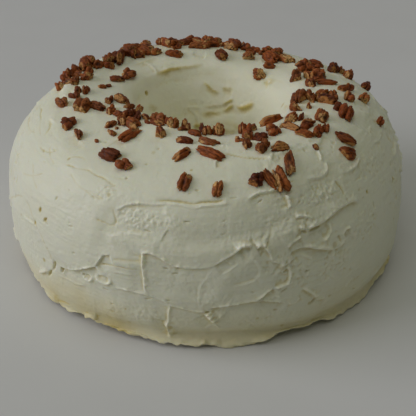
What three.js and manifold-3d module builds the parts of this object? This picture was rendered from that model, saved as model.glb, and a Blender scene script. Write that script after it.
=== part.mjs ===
// A ring-shaped carrot cake under cream cheese icing, with chopped pecans scattered round its top.
// Millimetres, +Z up. The origin is under the middle of the cake, on the surface that it stands on.
// Azimuth is in degrees round the ring's axis: 0 faces the front (-Y) and 90 the right (+X).
import * as THREE from "three";
import { mergeVertices } from "three/addons/utils/BufferGeometryUtils.js";
import Module from "manifold-3d";

const RAD = Math.PI / 180;

// The ring's section, before its unevenness.
const OUTER_RADIUS = 130; // at the widest, a third of the way up
const FOOT_RADIUS = 119.5; // where the iced side turns under, on the plate
const WIDEST_HEIGHT = 31;
const CREST_RADIUS = 66;
const CREST_HEIGHT = 104;
const HOLE_RADIUS = 35;
const FOOT_POWER = 2.2; // superellipse powers: 2 is a round shoulder, more is squarer
const SHOULDER_POWER = 2.63;
const FUNNEL_POWER = 2.3;

// Unevenness of a hand-iced ring, as waves round it: [times round, size, azimuth of a peak].
const SIDE_WAVES = [
  [1, 1.1, -139],
  [2, 2.2, -40],
  [3, 2.3, 29],
];
const FOOT_WAVES = [
  [1, 2.4, 115],
  [2, 3.0, -29],
  [3, 2.0, -52],
];
const CREST_WAVES = [
  [1, 1.1, 41],
  [2, 3.4, 47],
];
// From the shoulder inwards the ring is more uneven still: how high its rim stands, how wide its hole is.
const RIM_WAVES = [
  [1, 1.4, 0],
  [2, 2.2, -28],
  [3, 2, -44],
];
const HOLE_WAVES = [
  [2, 2.5, 45],
  [3, 2.1, 8],
];
const HOLE_SHIFT_Y = 3.7; // the hole lies behind the ring's axis
const INNER_FROM_RADIUS = 92;
const INNER_TO_RADIUS = 60;
// The ring's axis lies a little to the right and the front of the middle of the uneven outline.
const AXIS_X = 3.6;
const AXIS_Y = -1.3;

// Mesh of the iced ring: closer rows on the side, where the strokes show, than over the top.
const STEPS_AROUND = 78;
const SIDE_LENGTH = 112;
const SIDE_ROWS = 16;
const TOP_ROWS = 12;
const PROFILE_SAMPLES = 400;

// Icing: soft lumps everywhere, then flat spatula strokes laid over each other.
const LUMP_HEIGHT = 0.55;
const LUMP_WAVES = [
  // [waves round the ring, wavelength along the section in mm]
  [3, 150],
  [5, 96],
  [8, 70],
  [11, 118],
  [14, 54],
];
const STROKE_EDGE = 5; // how far a stroke's edge fades in this mesh
// Courses of strokes, from the foot over the crest into the hole: distance along the section and how many.
const STROKE_COURSES = [
  [20, 13],
  [46, 12],
  [74, 13],
  [102, 12],
  [128, 9],
  [154, 7],
  [182, 6],
];
// The strokes that show at the front: [azimuth, along, length, width, heading, level, tilt].
const FRONT_STROKES = [
  [-98, 62, 64, 46, 0, 1.3, 0.2],
  [-26, 118, 118, 38, 0, 0.5, -0.8],
  [-20, 87, 36, 20, 0, -0.9, 0.4],
  [-41, 68, 46, 46, -3, 0.9, 0.2],
  [6, 87, 70, 22, 4, -0.2, 0.5],
  [-37, 29, 52, 28, -8, -0.5, -0.5],
  [-3, 25, 92, 30, -4, -0.4, 0.6],
  [-8, 57, 40, 22, -3, -0.9, -0.6],
  [12, 51, 36, 20, 8, -0.4, 0.5],
  [30, 91, 36, 16, 14, -0.8, 0.4],
  [43, 55, 56, 36, 12, 0.4, -0.4],
  [27, 110, 32, 20, 24, 0.4, 0.5],
];

// Chopped pecans.
const NUT_SECTION = [
  // [share of the half-length, share of the half-width]
  [-1, 0],
  [-0.5, 0.92],
  [0.5, 0.92],
  [1, 0],
];
const NUT_SINK = 0.3; // the share of its height that a nut sinks into the icing
const LONG_NUT = 10; // a nut this long has five sides, a shorter one four
const LEAST_NUT = 7.6; // shorter crumbs are left to the finish
const CLEAR_SHARE = 0.6; // how close two nuts lie, as a share of their lengths
const PILED_NUTS = 4;
// The band of nuts round the hole, every 30 degrees from the front: [nuts, middle radius, half-width].
const BAND = [
  [0, 58, 8],
  [0, 65, 10],
  [0, 75, 13],
  [1, 75, 15],
  [3, 82, 17],
  [8, 76, 16],
  [10, 83, 12],
  [9, 83, 15],
  [2, 88, 15],
  [0, 88, 12],
  [0, 61, 9],
  [0, 57, 6],
];
// Nuts picked out by eye: [azimuth, radius, length, width, height, heading seen from above].
const PLACED_NUTS = [
  [-172, 73, 10, 6, 5, 0],
  [-156, 62, 11, 6, 5, -13],
  [-147, 69, 8, 6, 5, 0],
  [-142, 74, 8, 6, 5, 0],
  [-136, 79, 11, 7, 8, -59],
  [-128, 80, 13, 8, 8, 84],
  [-123, 82, 8, 8, 8, -16],
  [-120, 77, 6, 6, 5, -8],
  [-118, 59, 10, 8, 6, 51],
  [-118, 85, 9, 6, 6, 59],
  [-114, 92, 10, 7, 8, -39],
  [-112, 86, 6, 4, 5, 90],
  [-112, 97, 9, 6, 8, -84],
  [-110, 99, 9, 6, 8, 88],
  [-109, 62, 9, 5, 4, 0],
  [-108, 92, 7, 5, 4, -36],
  [-105, 83, 8, 7, 6, 9],
  [-105, 98, 10, 6, 8, -61],
  [-102, 94, 8, 5, 4, -42],
  [-101, 89, 8, 5, 5, 84],
  [-100, 65, 4, 3, 2, 38],
  [-100, 99, 7, 5, 6, -43],
  [-98, 69, 5, 3, 3, 0],
  [-93, 84, 6, 4, 5, -79],
  [-92, 79, 8, 5, 6, 82],
  [-88, 85, 7, 5, 5, -35],
  [-84, 92, 10, 6, 7, -41],
  [-80, 59, 11, 7, 5, -43],
  [-78, 66, 8, 5, 6, -89],
  [-77, 81, 13, 9, 7, 81],
  [-74, 74, 12, 6, 5, -32],
  [-68, 58, 7, 4, 4, 47],
  [-67, 91, 9, 8, 7, 37],
  [-66, 69, 9, 5, 6, 81],
  [-64, 54, 7, 4, 6, 78],
  [-59, 68, 7, 4, 4, -21],
  [-58, 91, 9, 4, 5, -68],
  [-54, 76, 7, 5, 4, 26],
  [-52, 66, 8, 5, 7, 49],
  [-50, 72, 8, 5, 6, -81],
  [-49, 76, 2, 2, 2, 0],
  [-49, 88, 3, 2, 2, -27],
  [-48, 80, 7, 3, 4, -46],
  [-47, 64, 7, 4, 5, 81],
  [-44, 70, 10, 7, 6, -49],
  [-42, 62, 5, 5, 4, 15],
  [-39, 77, 15, 6, 5, 46],
  [-38, 65, 4, 2, 2, -37],
  [-38, 93, 11, 7, 6, -36],
  [-36, 58, 9, 6, 7, -41],
  [-32, 57, 6, 4, 6, -87],
  [-32, 63, 9, 4, 4, -38],
  [-30, 97, 8, 7, 6, -54],
  [-28, 57, 5, 4, 6, -87],
  [-26, 70, 9, 5, 6, -66],
  [-23, 59, 9, 6, 7, 83],
  [-16, 61, 5, 4, 3, 17],
  [-15, 57, 8, 5, 8, -88],
  [-12, 72, 9, 4, 4, -16],
  [-11, 82, 13, 6, 5, 44],
  [-8, 63, 8, 4, 4, -25],
  [-8, 102, 10, 6, 5, 72],
  [-4, 58, 8, 5, 8, -90],
  [-1, 58, 6, 4, 7, 90],
  [-1, 71, 12, 5, 4, -29],
  [0, 82, 16, 6, 5, -35],
  [2, 106, 9, 5, 4, 82],
  [4, 57, 10, 7, 9, -85],
  [13, 69, 4, 4, 3, 0],
  [14, 104, 9, 7, 6, 39],
  [15, 78, 8, 5, 6, 87],
  [18, 58, 8, 5, 8, 87],
  [18, 66, 10, 6, 8, 87],
  [18, 105, 12, 5, 4, -55],
  [20, 84, 10, 6, 7, 50],
  [21, 106, 14, 7, 6, -64],
  [22, 73, 8, 6, 5, -19],
  [24, 57, 8, 5, 6, 86],
  [26, 87, 10, 6, 5, 22],
  [26, 99, 15, 5, 4, -82],
  [30, 71, 8, 8, 6, 0],
  [36, 68, 3, 2, 2, 72],
  [38, 56, 13, 6, 6, 26],
  [39, 73, 11, 5, 4, -45],
  [39, 95, 5, 3, 2, -70],
  [40, 84, 10, 5, 4, -13],
  [46, 66, 9, 6, 6, 59],
  [46, 78, 9, 7, 5, 24],
  [46, 87, 10, 5, 6, 76],
  [48, 107, 10, 7, 5, 7],
  [50, 70, 8, 3, 4, 68],
  [50, 88, 7, 4, 4, 79],
  [52, 100, 12, 6, 5, -20],
  [56, 80, 10, 7, 7, 70],
  [57, 61, 9, 5, 6, -49],
  [63, 68, 5, 3, 4, 83],
  [67, 90, 13, 8, 8, 78],
  [70, 84, 6, 6, 5, 15],
  [71, 59, 12, 8, 8, 72],
  [74, 66, 11, 6, 7, -84],
  [79, 110, 8, 4, 5, 79],
  [80, 79, 10, 5, 6, 88],
  [81, 72, 9, 6, 6, 51],
  [84, 89, 9, 6, 7, -81],
  [89, 99, 9, 6, 7, 72],
  [96, 89, 12, 5, 6, 44],
  [100, 67, 9, 6, 6, -82],
  [102, 78, 13, 5, 4, 0],
  [109, 110, 14, 6, 7, 68],
  [114, 71, 9, 5, 6, -84],
  [114, 79, 10, 6, 7, -69],
  [114, 101, 10, 6, 8, 77],
  [116, 64, 11, 7, 8, 71],
  [120, 95, 11, 7, 8, 81],
  [120, 102, 7, 4, 6, 79],
  [127, 89, 10, 6, 5, -21],
  [128, 82, 9, 6, 6, 75],
  [138, 77, 11, 6, 5, -45],
  [142, 54, 9, 7, 6, -40],
  [157, 75, 4, 4, 3, 0],
  [173, 61, 10, 7, 6, -56],
];

// Repeatable draws from 0 to 1.
function seededDraw(seed) {
  let state = seed;
  return () => {
    state = (state + 0x6d2b79f5) >>> 0;
    let mixed = Math.imul(state ^ (state >>> 15), state | 1);
    mixed ^= mixed + Math.imul(mixed ^ (mixed >>> 7), mixed | 61);
    return ((mixed ^ (mixed >>> 14)) >>> 0) / 4294967296;
  };
}

const smoothStep = (low, high, x) => THREE.MathUtils.smoothstep(x, low, high);

// Value at x on a polyline of rising xs.
function interpolate(x, xs, ys) {
  if (x <= xs[0]) return ys[0];
  const next = xs.findIndex((value) => value >= x);
  if (next < 0) return ys[ys.length - 1];
  const share = (x - xs[next - 1]) / (xs[next] - xs[next - 1]);
  return ys[next - 1] + share * (ys[next] - ys[next - 1]);
}

// ---- The ring's section -------------------------------------------------------------------

// A quarter of a superellipse; turn runs from 0 to 1.
function quarter(turn, power) {
  const angle = (turn * Math.PI) / 2;
  return [Math.cos(angle) ** (2 / power), Math.sin(angle) ** (2 / power)];
}

// The section from the foot, up the side, over the crest and down the hole, by distance along it.
function ringSection() {
  const points = [];
  for (let i = 0; i <= PROFILE_SAMPLES; i++) {
    const [out, down] = quarter(1 - i / PROFILE_SAMPLES, FOOT_POWER);
    points.push([FOOT_RADIUS + (OUTER_RADIUS - FOOT_RADIUS) * out, WIDEST_HEIGHT * (1 - down)]);
  }
  for (let i = 1; i <= PROFILE_SAMPLES; i++) {
    const [out, up] = quarter(i / PROFILE_SAMPLES, SHOULDER_POWER);
    points.push([
      CREST_RADIUS + (OUTER_RADIUS - CREST_RADIUS) * out,
      WIDEST_HEIGHT + (CREST_HEIGHT - WIDEST_HEIGHT) * up,
    ]);
  }
  for (let i = 1; i <= PROFILE_SAMPLES; i++) {
    const [up, inward] = quarter(i / PROFILE_SAMPLES, FUNNEL_POWER);
    points.push([
      CREST_RADIUS - (CREST_RADIUS - HOLE_RADIUS) * inward,
      WIDEST_HEIGHT + (CREST_HEIGHT - WIDEST_HEIGHT) * up,
    ]);
  }
  points.push([HOLE_RADIUS, 0]);
  const along = [0];
  for (let i = 1; i < points.length; i++) {
    const step = Math.hypot(points[i][0] - points[i - 1][0], points[i][1] - points[i - 1][1]);
    along.push(along[i - 1] + step);
  }
  return { along, radii: points.map((p) => p[0]), heights: points.map((p) => p[1]) };
}

const section = ringSection();
const SECTION_LENGTH = section.along[section.along.length - 1];

function sectionPoint(along) {
  return [
    interpolate(along, section.along, section.radii),
    interpolate(along, section.along, section.heights),
  ];
}

// The section's outward direction, as radius and height.
function sectionNormal(along) {
  const reach = 1.5;
  const [r0, z0] = sectionPoint(Math.max(0, along - reach));
  const [r1, z1] = sectionPoint(Math.min(SECTION_LENGTH, along + reach));
  const length = Math.hypot(r1 - r0, z1 - z0);
  return [(z1 - z0) / length, (r0 - r1) / length];
}

// Distance along the section at which the ring's top has a radius.
function alongAtRadius(radius) {
  const top = section.along.map((_, i) => i).filter((i) => section.along[i] > 40);
  const radii = top.map((i) => -section.radii[i]);
  return interpolate(-radius, radii, top.map((i) => section.along[i]));
}

// ---- The icing's relief -------------------------------------------------------------------

function makeLumps() {
  const draw = seededDraw(11);
  return LUMP_WAVES.map(([around, length]) => ({
    around,
    length,
    phase: 2 * Math.PI * draw(),
    drift: 2 * Math.PI * draw(),
  }));
}

function makeStrokes() {
  const draw = seededDraw(29);
  const strokes = [];
  for (const [along, count] of STROKE_COURSES) {
    const pitch = 360 / count;
    const [radius] = sectionPoint(along);
    for (let i = 0; i < count; i++) {
      strokes.push({
        azimuth: pitch * (i + 0.5 * draw()),
        along: along + 8 * (draw() - 0.5),
        length: pitch * RAD * radius * (0.95 + 0.45 * draw()),
        width: 24 + 12 * draw(),
        heading: 26 * (draw() - 0.5),
        level: 1.6 * (draw() - 0.5),
        tilt: 1.6 * (draw() - 0.5),
      });
    }
  }
  for (const [azimuth, along, length, width, heading, level, tilt] of FRONT_STROKES) {
    strokes.push({ azimuth, along, length, width, heading, level, tilt });
  }
  return strokes;
}

const lumps = makeLumps();
const strokes = makeStrokes();

// How far the icing stands out from the ring's plain section.
function relief(azimuth, along) {
  let height = 0;
  for (const { around, length, phase, drift } of lumps) {
    const round = Math.sin(around * azimuth * RAD + phase);
    height += LUMP_HEIGHT * round * Math.cos((2 * Math.PI * along) / length + drift);
  }
  const [radius] = sectionPoint(along);
  for (const stroke of strokes) {
    const turn = ((azimuth - stroke.azimuth + 540) % 360) - 180;
    const east = turn * RAD * radius;
    const north = along - stroke.along;
    const c = Math.cos(stroke.heading * RAD);
    const s = Math.sin(stroke.heading * RAD);
    const onward = east * c + north * s;
    const across = north * c - east * s;
    const ends = 1 - smoothStep(-STROKE_EDGE, STROKE_EDGE, Math.abs(onward) - stroke.length / 2);
    const sides = 1 - smoothStep(-STROKE_EDGE, STROKE_EDGE, Math.abs(across) - stroke.width / 2);
    const target = stroke.level + (stroke.tilt * across) / stroke.width;
    height += (target - height) * ends * sides;
  }
  // The foot and the rim of the hole's foot stay flat on the plate.
  return height * smoothStep(0, 12, along) * smoothStep(0, 12, SECTION_LENGTH - along);
}

function wave(azimuth, waves) {
  const swing = ([times, size, peak]) => size * Math.cos(times * (azimuth - peak) * RAD);
  return waves.reduce((sum, each) => sum + swing(each), 0);
}

// A point of the iced surface and its outward direction.
function surfaceAt(azimuth, along) {
  const [radius, height] = sectionPoint(along);
  const [outward, upward] = sectionNormal(along);
  const outerShare = THREE.MathUtils.clamp((radius - 50) / (OUTER_RADIUS - 50), 0, 1);
  const footShare = outerShare * THREE.MathUtils.clamp(1 - height / WIDEST_HEIGHT, 0, 1);
  const topShare = THREE.MathUtils.clamp((height - 20) / (CREST_HEIGHT - 20), 0, 1);
  const innerShare = 1 - smoothStep(INNER_TO_RADIUS, INNER_FROM_RADIUS, radius);
  const outerPush = outerShare * wave(azimuth, SIDE_WAVES) + footShare * wave(azimuth, FOOT_WAVES);
  const push = outerPush + innerShare * wave(azimuth, HOLE_WAVES);
  const raise = topShare * (wave(azimuth, CREST_WAVES) + innerShare * wave(azimuth, RIM_WAVES));
  const out = new THREE.Vector3(Math.sin(azimuth * RAD), -Math.cos(azimuth * RAD), 0);
  const normal = out.clone().multiplyScalar(outward).setZ(upward).normalize();
  const point = out.multiplyScalar(radius + push).setZ(height + raise);
  point.addScaledVector(normal, relief(azimuth, along));
  point.add(new THREE.Vector3(AXIS_X, AXIS_Y + innerShare * HOLE_SHIFT_Y, 0));
  return { point, normal };
}

function rowAlong(row) {
  if (row <= SIDE_ROWS) return (SIDE_LENGTH * row) / SIDE_ROWS;
  return SIDE_LENGTH + ((SECTION_LENGTH - SIDE_LENGTH) * (row - SIDE_ROWS)) / TOP_ROWS;
}

function icedRing() {
  const rows = SIDE_ROWS + TOP_ROWS + 1;
  const positions = [];
  for (let i = 0; i < rows; i++) {
    for (let j = 0; j < STEPS_AROUND; j++) {
      const { point } = surfaceAt((360 * j) / STEPS_AROUND - 180, rowAlong(i));
      positions.push(point.x, point.y, point.z);
    }
  }
  // The last row, at the foot of the hole, joins back to the first across the flat underside.
  const index = [];
  for (let i = 0; i < rows; i++) {
    const low = i * STEPS_AROUND;
    const high = ((i + 1) % rows) * STEPS_AROUND;
    for (let j = 0; j < STEPS_AROUND; j++) {
      const next = (j + 1) % STEPS_AROUND;
      index.push(low + j, low + next, high + next);
      index.push(low + j, high + next, high + j);
    }
  }
  const geometry = new THREE.BufferGeometry();
  geometry.setAttribute("position", new THREE.Float32BufferAttribute(positions, 3));
  geometry.setIndex(index);
  return geometry;
}

// ---- The nuts -----------------------------------------------------------------------------

const apart = (a, b) =>
  Math.hypot(
    a.radius * Math.sin(a.azimuth * RAD) - b.radius * Math.sin(b.azimuth * RAD),
    a.radius * Math.cos(a.azimuth * RAD) - b.radius * Math.cos(b.azimuth * RAD),
  );

function chopSize(draw) {
  const length = 7.5 + 6.5 * draw() ** 1.6;
  const width = Math.min(length * (0.55 + 0.4 * draw()), 8.5);
  return { length, width, height: width * (0.65 + 0.25 * draw()) };
}

function bandNut(draw, sector, [, middle, halfWidth]) {
  const azimuth = (360 / BAND.length) * (sector + draw() - 0.5);
  const radius = middle + halfWidth * (draw() + draw() - 1);
  const size = chopSize(draw);
  return { azimuth, radius, ...size, heading: 360 * draw(), tip: 40 * (draw() - 0.5), lift: 0 };
}

function scatterNuts() {
  const draw = seededDraw(7);
  const nuts = PLACED_NUTS.map(([azimuth, radius, length, width, height, heading]) => {
    return { azimuth, radius, length, width, height, heading, tip: 0, lift: 0 };
  });
  BAND.forEach((band, sector) => {
    const full = nuts.length + band[0];
    while (nuts.length < full) {
      const nut = bandNut(draw, sector, band);
      const free = (other) => apart(nut, other) > (CLEAR_SHARE * (nut.length + other.length)) / 2;
      if (nuts.every(free)) nuts.push(nut);
    }
  });
  const bottom = nuts.length;
  for (let i = 0; i < PILED_NUTS; i++) {
    const under = nuts[PLACED_NUTS.length + Math.floor(draw() * (bottom - PLACED_NUTS.length))];
    const azimuth = under.azimuth + 4 * (draw() - 0.5);
    const radius = under.radius + 5 * (draw() - 0.5);
    const size = chopSize(draw);
    const lift = 0.35 * under.height;
    nuts.push({ azimuth, radius, ...size, heading: 360 * draw(), tip: 60 * (draw() - 0.5), lift });
  }
  return nuts;
}

// One chopped nut: a lump of flat sides with its corners knocked about, lying along +Y.
function nutLump(nut, draw) {
  const outline = NUT_SECTION.map(([lengthwise, across]) => new THREE.Vector2(across, lengthwise));
  const lathe = new THREE.LatheGeometry(outline, nut.length > LONG_NUT ? 5 : 4);
  lathe.deleteAttribute("normal");
  lathe.deleteAttribute("uv");
  const geometry = mergeVertices(lathe, 1e-4);
  const position = geometry.attributes.position;
  const knock = () => 1 + 0.3 * (draw() - 0.5);
  for (let i = 0; i < position.count; i++) {
    const across = (position.getX(i) * knock() * nut.width) / 2;
    const lengthwise = (position.getY(i) * knock() * nut.length) / 2;
    const upward = (position.getZ(i) * knock() * nut.height) / 2;
    position.setXYZ(i, across, lengthwise, upward);
  }
  return geometry;
}

function nutGeometry(nut, draw) {
  const { point, normal } = surfaceAt(nut.azimuth, alongAtRadius(nut.radius));
  const heading = new THREE.Vector3(Math.cos(nut.heading * RAD), Math.sin(nut.heading * RAD), 0);
  heading.projectOnPlane(normal).normalize();
  const aside = new THREE.Vector3().crossVectors(heading, normal);
  const pose = new THREE.Matrix4().makeBasis(aside, heading, normal);
  pose.multiply(new THREE.Matrix4().makeRotationX(nut.tip * RAD));
  pose.setPosition(point.addScaledVector(normal, nut.height * (0.5 - NUT_SINK) + nut.lift));
  return nutLump(nut, draw).applyMatrix4(pose);
}

// ---- Joining ------------------------------------------------------------------------------

const wasm = await Module();
wasm.setup();

function toSolid(geometry) {
  return new wasm.Manifold(
    new wasm.Mesh({
      numProp: 3,
      vertProperties: new Float32Array(geometry.attributes.position.array),
      triVerts: new Uint32Array(geometry.index.array),
    }),
  );
}

function toGeometry(solid) {
  const mesh = solid.getMesh();
  const geometry = new THREE.BufferGeometry();
  geometry.setAttribute("position", new THREE.BufferAttribute(mesh.vertProperties, 3));
  geometry.setIndex(new THREE.BufferAttribute(mesh.triVerts, 1));
  return geometry;
}

function makeCake() {
  const draw = seededDraw(3);
  const shown = scatterNuts().filter((nut) => nut.length >= LEAST_NUT);
  return shown.reduce((cake, nut) => cake.add(toSolid(nutGeometry(nut, draw))), toSolid(icedRing()));
}

const icing = new THREE.MeshStandardMaterial({ color: 0xf0ead2, roughness: 0.55, metalness: 0 });
const cake = new THREE.Mesh(toGeometry(makeCake()), icing);
cake.name = "iced_cake";

const part = new THREE.Group();
part.add(cake);

export default part;
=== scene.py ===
"""Looks of a ring-shaped carrot cake under cream cheese icing, with chopped pecans round its hole.

Sizes are millimetres until a mesh is made, and Blender's metres from there on. Azimuth is in degrees
round the ring's axis: 0 faces the front (-Y) and 90 the right (+X). "Along" is the distance along the
ring's section in millimetres, from the foot of the outer side, over the crest, down the hole.
"""

import itertools
import math

import bmesh
import bpy
import numpy as np
from mathutils import Euler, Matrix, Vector


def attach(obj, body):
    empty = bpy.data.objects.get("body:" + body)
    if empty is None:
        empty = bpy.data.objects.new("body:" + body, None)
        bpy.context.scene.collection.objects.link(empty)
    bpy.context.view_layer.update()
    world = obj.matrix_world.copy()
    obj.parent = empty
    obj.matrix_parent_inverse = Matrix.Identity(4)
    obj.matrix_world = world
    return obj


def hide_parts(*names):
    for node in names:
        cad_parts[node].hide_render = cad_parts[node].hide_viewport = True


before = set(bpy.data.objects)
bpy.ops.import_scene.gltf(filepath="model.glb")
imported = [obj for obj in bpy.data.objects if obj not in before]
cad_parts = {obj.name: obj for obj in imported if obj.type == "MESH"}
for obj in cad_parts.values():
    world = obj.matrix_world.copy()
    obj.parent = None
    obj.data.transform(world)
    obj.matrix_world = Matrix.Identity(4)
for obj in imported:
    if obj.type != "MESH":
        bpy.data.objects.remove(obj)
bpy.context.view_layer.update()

MM = 0.001
CAD_NODE = "iced_cake"

# ---- The ring's section and its unevenness, as in the solid -----------------------------------

OUTER_RADIUS = 130.0
FOOT_RADIUS = 119.5
WIDEST_HEIGHT = 31.0
CREST_RADIUS = 66.0
CREST_HEIGHT = 104.0
HOLE_RADIUS = 35.0
FOOT_POWER = 2.2
SHOULDER_POWER = 2.63
FUNNEL_POWER = 2.3
PROFILE_SAMPLES = 400

# Waves round the ring, each (times round, size, azimuth of a peak), for the middle of its side, its foot
# and its crest.
SIDE_WAVES = ((1, 1.1, -139), (2, 2.2, -40), (3, 2.3, 29))
FOOT_WAVES = ((1, 2.4, 115), (2, 3.0, -29), (3, 2.0, -52))
CREST_WAVES = ((1, 1.1, 41), (2, 3.4, 47))
# From the shoulder inwards the ring is more uneven still: how high its rim stands, how wide its hole is.
RIM_WAVES = ((1, 1.4, 0), (2, 2.2, -28), (3, 2, -44))
HOLE_WAVES = ((2, 2.5, 45), (3, 2.1, 8))
HOLE_SHIFT_Y = 3.7
INNER_FROM_RADIUS = 92
INNER_TO_RADIUS = 60
OUTER_FROM_RADIUS = 50  # the side's waves grow from nothing at this radius
TOP_FROM_HEIGHT = 20  # and the crest's from this height
AXIS_X = 3.6
AXIS_Y = -1.3

# Soft lumps of the icing: (waves round the ring, wavelength along the section).
LUMP_SEED = 11
LUMP_HEIGHT = 0.55
LUMP_WAVES = ((3, 150), (5, 96), (8, 70), (11, 118), (14, 54))

# Courses of spatula strokes: (distance along the section, how many).
STROKE_SEED = 29
STROKE_COURSES = ((20, 13), (46, 12), (74, 13), (102, 12), (128, 9), (154, 7), (182, 6))
# Strokes that show at the front: (azimuth, along, length, width, heading, level, tilt).
FRONT_STROKES = (
    (-98, 62, 64, 46, 0, 1.3, 0.2),
    (-26, 118, 118, 38, 0, 0.5, -0.8),
    (-20, 88, 36, 22, 0, -0.9, 3.1),
    (-41, 68, 46, 46, -3, 0.25, -1.3),
    (6, 88, 70, 24, 4, -0.7, 3.7),
    (-37, 29, 52, 28, -8, -0.5, -0.5),
    (-3, 25, 92, 30, -4, -0.4, 0.6),
    (-8, 57, 40, 22, -3, -0.9, -0.2),
    (12, 51, 36, 20, 8, -0.9, -0.4),
    (30, 91, 36, 16, 14, -0.8, 0.4),
    (43, 55, 56, 36, 12, 0.4, -0.4),
    (27, 110, 32, 20, 24, 0.4, 0.5),
    (25, 74, 34, 16, 4, -0.5, 1.8),
)

# ---- The nuts' places, as in the solid, which leaves out those shorter than 7.6 mm -------------

NUT_SEED = 7
SHADE_SEED = 19
NUT_SINK = 0.3  # the share of its height that a nut sinks into the icing
CLEAR_SHARE = 0.6  # how close two nuts lie, as a share of their lengths
PILED_NUTS = 4
LEAST_CHOP = 7.5  # lengths of the nuts that aren't listed one by one
CHOP_SPREAD = 6.5
CHOP_SKEW = 1.6
WIDEST_CHOP = 8.5
# The band of nuts round the hole, every 30 degrees from the front: (nuts, middle radius, half-width).
BAND = (
    (0, 58, 8),
    (0, 65, 10),
    (0, 75, 13),
    (1, 75, 15),
    (3, 82, 17),
    (8, 76, 16),
    (10, 83, 12),
    (9, 83, 15),
    (2, 88, 15),
    (0, 88, 12),
    (0, 61, 9),
    (0, 57, 6),
)
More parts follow.
